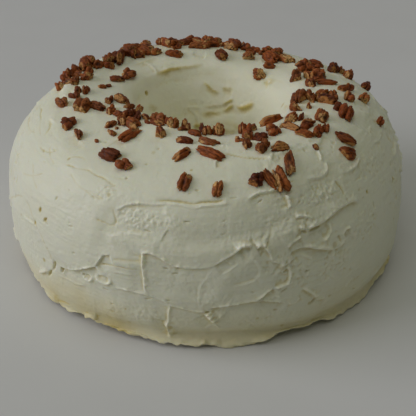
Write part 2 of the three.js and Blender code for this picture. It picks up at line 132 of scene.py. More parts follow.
# Nuts listed one by one: (azimuth, radius, length, width, height, heading seen from above, darkness).
PLACED_NUTS = (
    (-172, 73, 10, 6, 5, 0, 0.3),
    (-156, 62, 11, 6, 5, -13, 0.7),
    (-147, 69, 8, 6, 5, 0, 0.1),
    (-142, 74, 8, 6, 5, 0, 0.3),
    (-136, 79, 11, 7, 8, -59, 0.8),
    (-128, 80, 13, 8, 8, 84, 0.8),
    (-123, 82, 8, 8, 8, -16, 0.4),
    (-120, 77, 6, 6, 5, -8, 0.9),
    (-118, 59, 10, 8, 6, 51, 0.5),
    (-118, 85, 9, 6, 6, 59, 0.5),
    (-114, 92, 10, 7, 8, -39, 0.7),
    (-112, 86, 6, 4, 5, 90, 0.5),
    (-112, 97, 9, 6, 8, -84, 0.7),
    (-110, 99, 9, 6, 8, 88, 0.6),
    (-109, 62, 9, 5, 4, 0, 0.8),
    (-108, 92, 7, 5, 4, -36, 0.4),
    (-105, 83, 8, 7, 6, 9, 0.3),
    (-105, 98, 10, 6, 8, -61, 0.7),
    (-102, 94, 8, 5, 4, -42, 0.4),
    (-101, 89, 8, 5, 5, 84, 0.4),
    (-100, 65, 4, 3, 2, 38, 0.9),
    (-100, 99, 7, 5, 6, -43, 0),
    (-98, 69, 5, 3, 3, 0, 0.4),
    (-93, 84, 6, 4, 5, -79, 0.9),
    (-92, 79, 8, 5, 6, 82, 0.7),
    (-88, 85, 7, 5, 5, -35, 0.8),
    (-84, 92, 10, 6, 7, -41, 0.2),
    (-80, 59, 11, 7, 5, -43, 0.6),
    (-78, 66, 8, 5, 6, -89, 0.8),
    (-77, 81, 13, 9, 7, 81, 0.4),
    (-74, 74, 12, 6, 5, -32, 0.6),
    (-68, 58, 7, 4, 4, 47, 0.5),
    (-67, 91, 9, 8, 7, 37, 0.9),
    (-66, 69, 9, 5, 6, 81, 0.1),
    (-64, 54, 7, 4, 6, 78, 0.5),
    (-59, 68, 7, 4, 4, -21, 0.7),
    (-58, 91, 9, 4, 5, -68, 0.6),
    (-54, 76, 7, 5, 4, 26, 0.3),
    (-52, 66, 8, 5, 7, 49, 0.9),
    (-50, 72, 8, 5, 6, -81, 0.4),
    (-49, 76, 2, 2, 2, 0, 0.6),
    (-49, 88, 3, 2, 2, -27, 0.4),
    (-48, 80, 7, 3, 4, -46, 0.6),
    (-47, 64, 7, 4, 5, 81, 0.9),
    (-44, 70, 10, 7, 6, -49, 0.4),
    (-42, 62, 5, 5, 4, 15, 0.7),
    (-39, 77, 15, 6, 5, 46, 0.4),
    (-38, 65, 4, 2, 2, -37, 1),
    (-38, 93, 11, 7, 6, -36, 0.9),
    (-36, 58, 9, 6, 7, -41, 0.3),
    (-32, 57, 6, 4, 6, -87, 0.7),
    (-32, 63, 9, 4, 4, -38, 0.8),
    (-30, 97, 8, 7, 6, -54, 0.6),
    (-28, 57, 5, 4, 6, -87, 0.9),
    (-26, 70, 9, 5, 6, -66, 0.5),
    (-23, 59, 9, 6, 7, 83, 0),
    (-16, 61, 5, 4, 3, 17, 1),
    (-15, 57, 8, 5, 8, -88, 0.4),
    (-12, 72, 9, 4, 4, -16, 0.9),
    (-11, 82, 13, 6, 5, 44, 0.8),
    (-8, 63, 8, 4, 4, -25, 0.7),
    (-8, 102, 10, 6, 5, 72, 0.6),
    (-4, 58, 8, 5, 8, -90, 0.8),
    (-1, 58, 6, 4, 7, 90, 0.6),
    (-1, 71, 12, 5, 4, -29, 0.4),
    (0, 82, 16, 6, 5, -35, 0.5),
    (2, 106, 9, 5, 4, 82, 0.1),
    (4, 57, 10, 7, 9, -85, 0.4),
    (13, 69, 4, 4, 3, 0, 0.1),
    (14, 104, 9, 7, 6, 39, 1),
    (15, 78, 8, 5, 6, 87, 0.7),
    (18, 58, 8, 5, 8, 87, 0.6),
    (18, 66, 10, 6, 8, 87, 0.6),
    (18, 105, 12, 5, 4, -55, 0.3),
    (20, 84, 10, 6, 7, 50, 0.5),
    (21, 106, 14, 7, 6, -64, 0.3),
    (22, 73, 8, 6, 5, -19, 1),
    (24, 57, 8, 5, 6, 86, 0.4),
    (26, 87, 10, 6, 5, 22, 0.8),
    (26, 99, 15, 5, 4, -82, 0.5),
    (30, 71, 8, 8, 6, 0, 0.6),
    (36, 68, 3, 2, 2, 72, 0.2),
    (38, 56, 13, 6, 6, 26, 0.6),
    (39, 73, 11, 5, 4, -45, 0.8),
    (39, 95, 5, 3, 2, -70, 0.8),
    (40, 84, 10, 5, 4, -13, 0.3),
    (46, 66, 9, 6, 6, 59, 0.2),
    (46, 78, 9, 7, 5, 24, 0.9),
    (46, 87, 10, 5, 6, 76, 1),
    (48, 107, 10, 7, 5, 7, 0.8),
    (50, 70, 8, 3, 4, 68, 1),
    (50, 88, 7, 4, 4, 79, 0.5),
    (52, 100, 12, 6, 5, -20, 0.7),
    (56, 80, 10, 7, 7, 70, 0.2),
    (57, 61, 9, 5, 6, -49, 0.5),
    (63, 68, 5, 3, 4, 83, 0),
    (67, 90, 13, 8, 8, 78, 1),
    (70, 84, 6, 6, 5, 15, 0.9),
    (71, 59, 12, 8, 8, 72, 0.6),
    (74, 66, 11, 6, 7, -84, 0.6),
    (79, 110, 8, 4, 5, 79, 0.7),
    (80, 79, 10, 5, 6, 88, 0.4),
    (81, 72, 9, 6, 6, 51, 0.3),
    (84, 89, 9, 6, 7, -81, 0.5),
    (89, 99, 9, 6, 7, 72, 0.1),
    (96, 89, 12, 5, 6, 44, 0.7),
    (100, 67, 9, 6, 6, -82, 0.7),
    (102, 78, 13, 5, 4, 0, 0.7),
    (109, 110, 14, 6, 7, 68, 1),
    (114, 71, 9, 5, 6, -84, 0.3),
    (114, 79, 10, 6, 7, -69, 0.4),
    (114, 101, 10, 6, 8, 77, 0.3),
    (116, 64, 11, 7, 8, 71, 0.5),
    (120, 95, 11, 7, 8, 81, 0.9),
    (120, 102, 7, 4, 6, 79, 0.2),
    (127, 89, 10, 6, 5, -21, 0.9),
    (128, 82, 9, 6, 6, 75, 0.5),
    (138, 77, 11, 6, 5, -45, 0.1),
    (142, 54, 9, 7, 6, -40, 0.2),
    (157, 75, 4, 4, 3, 0, 0.5),
    (173, 61, 10, 7, 6, -56, 0.8),
)


def seeded_draw(seed):
    """Repeatable draws from 0 to 1, the same ones as the solid's."""
    state = seed
    word = 0xFFFFFFFF
    while True:
        state = (state + 0x6D2B79F5) & word
        mixed = ((state ^ (state >> 15)) * (state | 1)) & word
        mixed ^= (mixed + (((mixed ^ (mixed >> 7)) * (mixed | 61)) & word)) & word
        yield ((mixed ^ (mixed >> 14)) & word) / 4294967296


def smooth_step(low, high, x):
    """0 up to low and 1 from high on, or the other way round where high is the lesser."""
    share = np.clip((x - low) / (high - low), 0.0, 1.0)
    return share * share * (3 - 2 * share)


def plateau(x, foot, top, far_top, far_foot):
    """1 from top to far_top, falling smoothly to 0 at foot and far_foot."""
    return smooth_step(foot, top, x) * smooth_step(far_foot, far_top, x)


def hill(offset, width):
    """1 where the offset is 0, falling away smoothly on both sides."""
    return np.exp(-((offset / width) ** 2))


# ---- The ring's section -----------------------------------------------------------------------


def quarter(turn, power):
    """A quarter of a superellipse; turn runs from 0 to 1."""
    angle = turn * math.pi / 2
    return np.cos(angle) ** (2 / power), np.sin(angle) ** (2 / power)


def ring_section():
    """Distances along the section with the radius and height there."""
    turn = np.arange(PROFILE_SAMPLES + 1) / PROFILE_SAMPLES
    rise = CREST_HEIGHT - WIDEST_HEIGHT
    out, down = quarter(1 - turn, FOOT_POWER)
    foot_r = FOOT_RADIUS + (OUTER_RADIUS - FOOT_RADIUS) * out
    foot_z = WIDEST_HEIGHT * (1 - down)
    out, up = quarter(turn[1:], SHOULDER_POWER)
    side_r = CREST_RADIUS + (OUTER_RADIUS - CREST_RADIUS) * out
    side_z = WIDEST_HEIGHT + rise * up
    up, inward = quarter(turn[1:], FUNNEL_POWER)
    hole_r = CREST_RADIUS - (CREST_RADIUS - HOLE_RADIUS) * inward
    hole_z = WIDEST_HEIGHT + rise * up
    radii = np.concatenate([foot_r, side_r, hole_r, [HOLE_RADIUS]])
    heights = np.concatenate([foot_z, side_z, hole_z, [0.0]])
    steps = np.hypot(np.diff(radii), np.diff(heights))
    return np.concatenate([[0.0], np.cumsum(steps)]), radii, heights


SECTION_ALONG, SECTION_RADII, SECTION_HEIGHTS = ring_section()
SECTION_LENGTH = float(SECTION_ALONG[-1])


def section_point(along):
    return (
        np.interp(along, SECTION_ALONG, SECTION_RADII),
        np.interp(along, SECTION_ALONG, SECTION_HEIGHTS),
    )


def section_normal(along):
    """The section's outward direction, as radius and height."""
    reach = 1.5
    r0, z0 = section_point(np.maximum(0, along - reach))
    r1, z1 = section_point(np.minimum(SECTION_LENGTH, along + reach))
    length = np.hypot(r1 - r0, z1 - z0)
    return (z1 - z0) / length, (r0 - r1) / length


def along_at_radius(radius):
    """Distance along the section at which the ring's top has a radius."""
    top = SECTION_ALONG > 40  # past the foot the radius only falls
    return np.interp(-radius, -SECTION_RADII[top], SECTION_ALONG[top])


def wave(azimuth, waves):
    """The sum of waves round the ring, each (times round, size, azimuth of a peak)."""
    return sum(size * np.cos(np.radians(times * (azimuth - peak))) for times, size, peak in waves)


def surface_at(azimuth, along, relief):
    """Points (..., 3) of the iced surface and their outward directions, with relief in millimetres."""
    radius, height = section_point(along)
    outward, upward = section_normal(along)
    outer_share = np.clip((radius - OUTER_FROM_RADIUS) / (OUTER_RADIUS - OUTER_FROM_RADIUS), 0, 1)
    foot_share = outer_share * np.clip(1 - height / WIDEST_HEIGHT, 0, 1)
    top_share = np.clip((height - TOP_FROM_HEIGHT) / (CREST_HEIGHT - TOP_FROM_HEIGHT), 0, 1)
    inner_share = 1 - smooth_step(INNER_TO_RADIUS, INNER_FROM_RADIUS, radius)
    grown = radius + outer_share * wave(azimuth, SIDE_WAVES) + foot_share * wave(azimuth, FOOT_WAVES)
    grown = grown + inner_share * wave(azimuth, HOLE_WAVES)
    shift_y = AXIS_Y + inner_share * HOLE_SHIFT_Y
    raised = height + top_share * (wave(azimuth, CREST_WAVES) + inner_share * wave(azimuth, RIM_WAVES))
    east, south = np.sin(np.radians(azimuth)), -np.cos(np.radians(azimuth))
    normal = np.stack([east * outward, south * outward, upward * np.ones_like(azimuth)], -1)
    point = np.stack([east * grown + AXIS_X, south * grown + shift_y, raised], -1)
    return point + normal * np.asarray(relief)[..., None], normal


# ---- Noise ------------------------------------------------------------------------------------

# The fine grain's lattice is turned, so that none of its lines runs along the cake's own directions.
GRAIN_TURN = np.array(Euler((0.6, 0.9, 0.4)).to_matrix())


def lattice_draw(cell, seed):
    """A repeatable draw from -1 to 1 for each whole-numbered cell (..., 3)."""
    word = np.uint64(0xFFFFFFFF)
    x, y, z = (cell[..., i].astype(np.int64).astype(np.uint64) & word for i in range(3))
    mixed = x * np.uint64(374761393) + y * np.uint64(668265263) + z * np.uint64(2246822519)
    mixed = (mixed + np.uint64(seed * 3266489917 & 0xFFFFFFFF)) & word
    mixed = ((mixed ^ (mixed >> np.uint64(13))) * np.uint64(1274126177)) & word
    mixed = ((mixed ^ (mixed >> np.uint64(16))) * np.uint64(2246822519)) & word
    return (mixed >> np.uint64(8)).astype(np.float64) / 8388608.0 - 1.0


def noise(points, wavelength, seed):
    """Smooth noise of about -1 to 1 at points (..., 3)."""
    scaled = points / wavelength
    cell = np.floor(scaled).astype(np.int64)
    part = scaled - cell
    ease = part * part * (3 - 2 * part)
    total = 0.0
    for corner in itertools.product((0, 1), repeat=3):
        weight = np.ones(points.shape[:-1])
        for axis, high in enumerate(corner):
            weight = weight * (ease[..., axis] if high else 1 - ease[..., axis])
        total = total + weight * lattice_draw(cell + np.array(corner), seed)
    return total


def line_noise(position, wavelength, seed):
    """Smooth noise of about -1 to 1 that changes in one direction only."""
    nowhere = np.zeros_like(position)
    return noise(np.stack([position, nowhere, nowhere], -1), wavelength, seed)


# ---- The icing's relief -----------------------------------------------------------------------

STROKE_MARGIN = 10.0  # a stroke's wavering edge stays within this of its outline
SOFT_EDGE = 5.0
CRISP_EDGE = 0.6
STROKE_LIP = 0.4
LIP_WIDTH = 0.7
PATH_STEP = 0.6
RIDGE_REACH = 14.0  # a ridge changes nothing farther off than this
LEDGE_RISE = (11.0, 1.5)  # the ground dropped beside a ridge rises again from the second to the first
END_TAPER = 0.12  # a ridge fades out over this share of its path at each end


def soft_lumps(azimuth, along):
    """The icing's broad unevenness, the same as in the solid."""
    draw = seeded_draw(LUMP_SEED)
    height = np.zeros(np.broadcast(azimuth, along).shape)
    for around, length in LUMP_WAVES:
        phase = 2 * math.pi * next(draw)
        drift = 2 * math.pi * next(draw)
        round_wave = np.sin(around * np.radians(azimuth) + phase)
        height = height + LUMP_HEIGHT * round_wave * np.cos(2 * math.pi * along / length + drift)
    return height


def course_strokes():
    """Strokes all over the icing, laid in courses: as FRONT_STROKES, and the same as in the solid."""
    draw = seeded_draw(STROKE_SEED)
    strokes = []
    for along, count in STROKE_COURSES:
        pitch = 360 / count
        radius = float(section_point(along)[0])
        for i in range(count):
            azimuth = pitch * (i + 0.5 * next(draw))
            middle = along + 8 * (next(draw) - 0.5)
            length = math.radians(pitch) * radius * (0.95 + 0.45 * next(draw))
            width = 24 + 12 * next(draw)
            heading = 26 * (next(draw) - 0.5)
            level = 1.6 * (next(draw) - 0.5)
            tilt = 1.6 * (next(draw) - 0.5)
            strokes.append((azimuth, middle, length, width, heading, level, tilt))
    return strokes


class IcingSheet:
    """The icing as a height over (azimuth, along), on a grid or at single points."""

    def __init__(self, azimuth, along):
        self.azimuth = azimuth
        self.along = along
        self.radius = section_point(along)[0] * np.ones_like(azimuth)
        plain = surface_at(azimuth, along, np.zeros(azimuth.shape))[0]
        self.plain = plain
        self.height = soft_lumps(azimuth, along)
        self.wander = noise(plain, 21.0, 1)
        self.fray = noise(plain, 5.5, 2)
        self.patchy = noise(plain, 13.0, 3)
        turned = plain @ GRAIN_TURN
        self.crumbs = 0.55 * noise(turned, 1.45, 4) + 0.45 * noise(turned[..., ::-1], 1.0, 7)
        self.yellow_and_shade = np.zeros_like(self.height)

    def local(self, azimuth, along, heading):
        """Distances onward and across from a point of the icing, in millimetres."""
        turn = (self.azimuth - azimuth + 540) % 360 - 180
        east = np.radians(turn) * self.radius
        north = self.along - along
        c, s = math.cos(math.radians(heading)), math.sin(math.radians(heading))
        return east * c + north * s, north * c - east * s

    def lay_stroke(self, stroke, crispness):
        """One flat pass of the spatula: it levels the icing, and leaves a lip where its edge is crisp."""
        azimuth, along, length, width, heading, level, tilt = stroke
        onward, across = self.local(azimuth, along, heading)
        near = (np.abs(onward) < length / 2 + STROKE_MARGIN) & (np.abs(across) < width / 2 + STROKE_MARGIN)
        onward, across = onward[near], across[near]
        wander, fray = self.wander[near], self.fray[near]
        corner = ((2 * np.abs(onward) / length) ** 4 + (2 * np.abs(across) / width) ** 4) ** 0.25
        inside = (1 - corner) * width / 2 + 1.7 * wander + 0.5 * fray
        crisp = crispness * smooth_step(0.1, 0.6, self.patchy[near]) * (0.3 + 0.7 * (across * tilt > 0))
        edge = SOFT_EDGE - (SOFT_EDGE - CRISP_EDGE) * crisp
        cover = smooth_step(-edge, edge, inside)
        seed = int(azimuth * 7 + along)
        line = across + 0.5 * wander
        drag = 0.05 * line_noise(line, 2.1, seed) + 0.03 * line_noise(line, 1.1, seed + 1)
        target = level + tilt * across / width + drag + 0.16 * wander
        lip = STROKE_LIP * crisp * hill(inside + LIP_WIDTH, LIP_WIDTH)
        self.height[near] += (target - self.height[near]) * cover + lip

    def add_ridge(self, ridge, tint_and_shade=0.0, taper_share=END_TAPER):
        """A lip of icing along a path, with the ground on its right-hand side dropping away.

        A ridge is (height, width, drop, path), and a tint makes it look yellower; on a groove that is painted
        shade.
        """
        size, width, drop, path = ridge
        path = np.array(path, float)
        middle = path[:, 0].mean()
        radius = section_point(path[:, 1])[0]
        knots = np.stack([np.radians(path[:, 0] - middle) * radius, path[:, 1]], -1)
        line = smooth_path(knots, PATH_STEP)
        turn = (self.azimuth - middle + 540) % 360 - 180
        east = np.radians(turn) * self.radius
        low, high = line.min(0) - RIDGE_REACH, line.max(0) + RIDGE_REACH
        near = (east > low[0]) & (east < high[0]) & (self.along > low[1]) & (self.along < high[1])
        spot = np.stack([east[near], self.along[near]], -1)
        offset = spot[:, None, :] - line[None]
        distance = np.hypot(offset[..., 0], offset[..., 1])
        nearest = distance.argmin(1)
        tangent = np.gradient(line, axis=0)[nearest]
        offset = offset[np.arange(len(spot)), nearest]
        side = np.sign(tangent[:, 1] * offset[:, 0] - tangent[:, 0] * offset[:, 1])
        away = side * distance.min(1) + 0.45 * self.fray[near] + 0.16 * self.crumbs[near]
        share = nearest / (len(line) - 1)
        taper = smooth_step(0.0, taper_share, share) * smooth_step(0.0, taper_share, 1 - share)
        uneven = 0.85 + 0.5 * self.patchy[near] + 0.55 * self.fray[near] + 0.3 * self.crumbs[near]
        uneven = np.clip(uneven, 0.15, 1.6)
        low_side = hill(away, 0.5 * width)
        high_side = 0.65 * hill(away, 0.8 * width) + 0.35 * np.exp(-np.abs(away) / (2.6 * width))
        lip = size * uneven * np.where(away > 0, low_side, high_side)
        ledge = -drop * smooth_step(0.0, 0.8 * width, away) * smooth_step(*LEDGE_RISE, away)
        self.height[near] += taper * (lip + ledge)
        if tint_and_shade:
            yellow_and_shade = tint_and_shade * taper * np.clip(uneven, 0.5, 1.1) * hill(away, 0.6 * width)
            self.yellow_and_shade[near] = np.maximum(self.yellow_and_shade[near], yellow_and_shade)

    def roughen(self, patch):
        """A torn, porous patch that the spatula lifted: (azimuth, along, half-length, half-width, depth)."""
        azimuth, along, half_length, half_width, depth = patch
        onward, across = self.local(azimuth, along, 0)
        inside = 1 - np.hypot(onward / half_length, across / half_width) + 0.35 * self.wander
        cover = smooth_step(0.0, 0.45, inside)
        self.height = self.height + depth * cover * (0.95 * self.crumbs + 0.15 * self.fray)

    def dig(self, pit):
        """A small pit: (azimuth, along, half-length, half-width, heading, depth)."""
        azimuth, along, half_length, half_width, heading, depth = pit
        onward, across = self.local(azimuth, along, heading)
        near = (np.abs(onward) < 3 * half_length) & (np.abs(across) < 3 * half_length)
        apart = np.hypot(onward[near] / half_length, across[near] / half_width) + 0.3 * self.fray[near]
        self.height[near] -= depth * (1 - smooth_step(0.35, 1.15, apart))

    def open_bubble(self, bubble):
        """A burst bubble with a raised rim, one of BUBBLES."""
        azimuth, along, half_length, half_width, heading, rim = bubble
        onward, across = self.local(azimuth, along, heading)
        apart = np.hypot(onward / half_length, across / half_width) + 0.22 * self.fray + 0.1 * self.crumbs
        ring = hill(apart - 1, 0.24) * (0.15 + 1.3 * smooth_step(0.8, -0.8, across / half_width))
        hollow = (1 - smooth_step(0.4, 0.95, apart)) * smooth_step(-0.9, 0.6, across / half_width)
        self.height = self.height + rim * (ring - 0.9 * hollow)


def smooth_path(knots, step):
    """A Catmull-Rom curve through the knots, as points about a step apart."""
    ends = np.concatenate([[2 * knots[0] - knots[1]], knots, [2 * knots[-1] - knots[-2]]])
    curve = []
    for a, b, c, d in zip(ends, ends[1:], ends[2:], ends[3:]):
        count = max(2, math.ceil(math.dist(b, c) / step))
        t = (np.arange(count) / count)[:, None]
        cubic = -a + 3 * b - 3 * c + d
        curve.append(0.5 * (2 * b + (c - a) * t + (2 * a - 5 * b + 4 * c - d) * t**2 + cubic * t**3))
    return np.concatenate(curve + [knots[-1:]])


# ---- Marks that show at the front -------------------------------------------------------------

# Lips and ledges: (height, width, drop on the right-hand side, path of (azimuth, along)).
RIDGES = (
    # The long lip under the shoulder, the groove above it, and the torn patch below.
    (0.65, 0.9, 0.5, ((-27, 90), (-25.5, 92), (-23.5, 94.5), (-19.5, 96.5), (-15, 97.5), (-11.5, 98))),
    (0.55, 1.0, 0.1, ((-12.5, 98), (-8, 97.5), (-5, 96.5), (-1.5, 97), (2, 97.5), (6, 98))),
    (-1.5, 0.9, 0.0,
     ((-16, 99.2), (-12.5, 100), (-8.5, 99.6), (-5, 99), (-1.5, 99.5), (2, 99.6), (4.5, 100.4))),
    (-0.6, 0.9, 0.0, ((-27.6, 91), (-27, 88), (-26.3, 85), (-26, 82))),
    (-0.6, 0.8, 0.0, ((-32, 82), (-29, 81.5), (-27.5, 81), (-25.5, 82))),
    (0.7, 1.5, -0.5,
     ((-28, 73.5), (-26, 75.5), (-23, 78), (-20, 78.7), (-17.5, 78.5), (-15, 77.5), (-12.5, 77))),
    (0.2, 0.8, 0.3, ((-13, 76.6), (-12, 81), (-11, 84.5))),
    # The proud plate at the left: its lower edge, and the drag lines right of it.
    (0.9, 0.8, 1.5, ((-43, 41.5), (-39.5, 43.5), (-37, 45.5), (-34, 49), (-31.5, 52), (-30, 54.2))),
    (0.5, 0.8, 1.1, ((-30.4, 53.5), (-29.5, 57), (-28, 61.5), (-26.2, 64))),
    (-0.6, 0.7, 0.0, ((-29.4, 55), (-24.5, 57.5), (-20.5, 58), (-17.6, 59))),
    (-0.5, 1.3, 0.0, ((-25.5, 61.6), (-21, 63), (-17.6, 64))),
    (0.2, 0.8, 0.15, ((-28, 52), (-23, 53.6), (-18, 54.4))),
    (0.12, 0.9, 0.1, ((-27, 49.4), (-22, 50.6), (-17.6, 51))),
    (0.4, 0.7, 0.3, ((-43, 33.5), (-39.5, 34), (-37, 34), (-33.5, 36))),
    # The upright lip in the middle, with its hook and its long sagging arm.
    (1.5, 1.4, 0.7, ((-17.4, 69.5), (-17.2, 63.5), (-16.8, 58), (-16.6, 52), (-16.4, 47), (-16, 43.4))),
    (1.0, 1.3, 0.5, ((-18, 67.6), (-16, 69.2), (-13.6, 68.4), (-11, 65.5), (-9, 63.6), (-7, 63))),
    (0.6, 1.2, 0.5, ((-9, 63.6), (-7, 62.8), (-4.5, 62.5), (-2, 63), (0, 63.8), (1.5, 65))),
    (0.8, 0.9, 0.8, ((0.5, 64.4), (2, 66), (4, 68.6), (5.5, 70.4), (7, 72.4), (8, 74))),
    (2.2, 1.7, 0.7, ((6.4, 72.6), (8, 74.4), (10.4, 74.2))),
    (0.15, 1.0, 0.1, ((0.5, 62), (-1.2, 56), (-2.6, 50), (-3, 43), (-2.6, 37))),
    (1.15, 0.8, 0.4, ((-26, 42.6), (-22.5, 43.2), (-19, 43.2), (-16, 43), (-14, 42), (-12, 40.4), (-10, 38))),
    (1.15, 0.8, 0.4, ((-10.6, 38), (-8.5, 37), (-6.5, 36), (-4, 34.6), (-1, 34))),
    (1.0, 1.1, 0.6, ((-10, 37.6), (-10.5, 32), (-10.6, 26), (-11, 20), (-11, 15))),
    (1.8, 2.1, 0.9, ((-11, 25), (-11.4, 20), (-11, 15), (-11, 9))),
    # The tangle right of the middle.
    (2.4, 1.9, 0.7, ((11.4, 73), (12.6, 73.8), (14, 72.6))),
    (1.9, 1.3, 0.8, ((13.4, 72.6), (15, 68), (15.6, 64.5), (17.4, 61.4), (18.6, 59))),
    (1.4, 1.2, 0.4, ((18.4, 59), (20, 61), (21, 62.2), (23.6, 62.6), (26.6, 58.4))),
    (1.7, 1, 0.8, ((18.6, 59), (20, 55.5), (20, 51), (19.4, 48), (17.6, 47), (15.8, 46.4))),
    (2.5, 1.7, 1.3, ((19.6, 65.4), (21, 67), (23, 67.7), (25, 67.2), (27.5, 65), (30.5, 62.6), (33.5, 60.7))),
    (1.7, 1.1, 1, ((32.6, 60.8), (35, 61), (36.7, 63.6), (36.2, 66.6), (37.2, 68.4), (39.4, 68.2))),
    (1.5, 1.3, 0.4, ((32.2, 77.4), (32.6, 73), (31.6, 69.6), (29.6, 68.2))),
    (1.9, 1.3, 0.7, ((19.4, 69.4), (21.4, 72), (23.6, 74))),
    (2.4, 1.2, 0.6, ((23.2, 79.2), (24.4, 77.6))),
    (2.2, 2.8, 1.4,
     ((24.6, 77.6), (27.5, 78), (30, 78.6), (33, 80.4), (35.5, 81.6), (38, 82.4), (41.5, 82.4), (44.5, 80))),
    (1.2, 1.2, 0.3, ((22.6, 84.8), (25, 84), (27.4, 81.6))),
    (1.9, 1.1, 0.6, ((21, 97.6), (21.5, 94), (21.6, 90.6))),
    (1, 1.3, 0.7, ((10, 99), (14, 101.5), (18, 101.6), (21, 102.4), (25, 103))),
    (-0.8, 1.1, 0.0, ((38, 96), (39, 91), (39.2, 87))),
    (1.2, 1.4, 0.4, ((41, 98.6), (45, 97.5), (48.5, 97.6), (52, 100))),
    (0.8, 1.5, 0.5, ((29, 103), (33, 101.5), (37, 102.8), (38.6, 108))),
    (0.8, 0.9, 0.3, ((38.6, 116.6), (38, 113), (36.8, 109.4))),
    (0.3, 0.7, 0.2, ((3.4, 67), (4.6, 65.6), (5.6, 64.2))),
    (0.4, 0.7, 0.25, ((7, 64.4), (5.6, 62.6), (3.8, 60), (2.8, 58.6))),
    (0.25, 1.6, 0.4,
     ((10.2, 68), (11.4, 64.4), (12.4, 60.6), (12.4, 56.8), (11.2, 53.6), (8.8, 51.8), (5, 50.4))),
    # The ledge low at the right, and the small marks near it.
    (1, 0.7, 1.3, ((-0.6, 37.4), (3.2, 38.5), (6.8, 39.2), (10, 40), (13, 39.4), (16.4, 37.8), (19.4, 35))),
    (1, 0.9, 0.7, ((11.6, 40.6), (13, 42.4), (14.4, 45), (15.8, 46.6))),
    (1.4, 1, 0.7, ((19.6, 34.6), (21.5, 34), (23.2, 36.8))),
    (2.2, 1.3, 0.8, ((23.6, 43), (26.4, 37.2), (28.6, 31.6), (31.2, 30))),
    (1, 0.9, 0.3, ((37.8, 30), (39.4, 33.8), (40.6, 36.4))),
    (3.2, 2.2, 0.8, ((-1.2, 33), (-0.5, 30.6), (0.5, 27.6), (1.2, 25.6))),
    (0.8, 0.8, 0.3, ((0.6, 26), (1.4, 23.4), (2.4, 20.6))),
    (2.2, 3.0, 0.3, ((-0.4, 31.4), (0.4, 29.4), (1.2, 27.4))),
    # Fainter marks of the left shoulder.
    (-0.55, 0.8, 0.0,
     ((-51, 103.6), (-46, 105.2), (-41.5, 106.8), (-37.5, 106), (-33.2, 105.2), (-29.2, 102.8))),
    (-0.45, 0.8, 0.2, ((-47, 101.2), (-41.2, 97.2), (-35, 94.4), (-31.5, 93.2))),
    (-0.4, 0.8, 0.0, ((-51.4, 106), (-51, 108.6), (-49.2, 111.2), (-46.5, 112.4), (-44.5, 112))),
    (-0.5, 0.8, 0.1, ((-66.2, 81), (-64, 82.6), (-62, 84.4), (-60, 87), (-57, 91.2))),
    (-0.3, 0.9, 0.1, ((-67.2, 100), (-63.2, 101.6), (-60, 104.4), (-58.8, 108))),
    (-0.35, 0.7, 0.0, ((-32.2, 101.6), (-30.5, 102.4), (-28.8, 104))),
    (-0.35, 0.7, 0.0, ((-30.5, 100), (-27.8, 101.6))),
    (-0.35, 0.7, 0.0, ((-37, 96.4), (-34.2, 95.6), (-31, 94))),
    (-0.35, 0.8, 0.2, ((-61.2, 70), (-56.8, 66), (-51, 57.2), (-46.5, 48), (-46, 41.2))),
    (0.7, 1.6, 0.4, ((-50, 54), (-47.6, 47.6), (-45.8, 42.6))),
    (1.6, 1.7, 0.2, ((-52.6, 25), (-50.4, 28.4), (-48.6, 31.6))),
    (-0.4, 1.2, 0.0, ((-47, 8.6), (-45, 10.4), (-41, 13))),
    (1.6, 2.4, 0.3, ((-36, 9.4), (-34, 12), (-32, 11.6))),
    # The groove over the front of the crest, and the peak at its end.
    (-0.8, 0.9, 0.2, ((4, 133.6), (10, 128.2), (14.6, 124.5), (20, 121))),
    (1.2, 1.1, 0.2, ((20.4, 120), (21.4, 122.2), (22.4, 124.6))),
    (0.6, 1.2, 0.3, ((22, 123), (27.8, 123), (33.4, 122), (37, 121))),
)
# Faint lips on the wall of the hole: (height, width, drop on the right-hand side, path).
HOLE_RIDGES = (
    (0.4, 1.6, 0.4, ((134, 160), (131, 164), (127, 167.6))),
    (0.4, 1.8, 0.4, ((20, 176), (40, 181), (58, 178))),
    (0.4, 1.8, 0.4, ((-60, 170), (-40, 174), (-22, 172))),
    (0.5, 2.0, 0.5, ((0, 198), (24, 203), (50, 200), (70, 202))),
    (0.5, 2.0, 0.5, ((-100, 205), (-76, 201), (-44, 204))),
    (0.4, 1.6, 0.4, ((96, 205), (124, 210), (150, 207))),
)
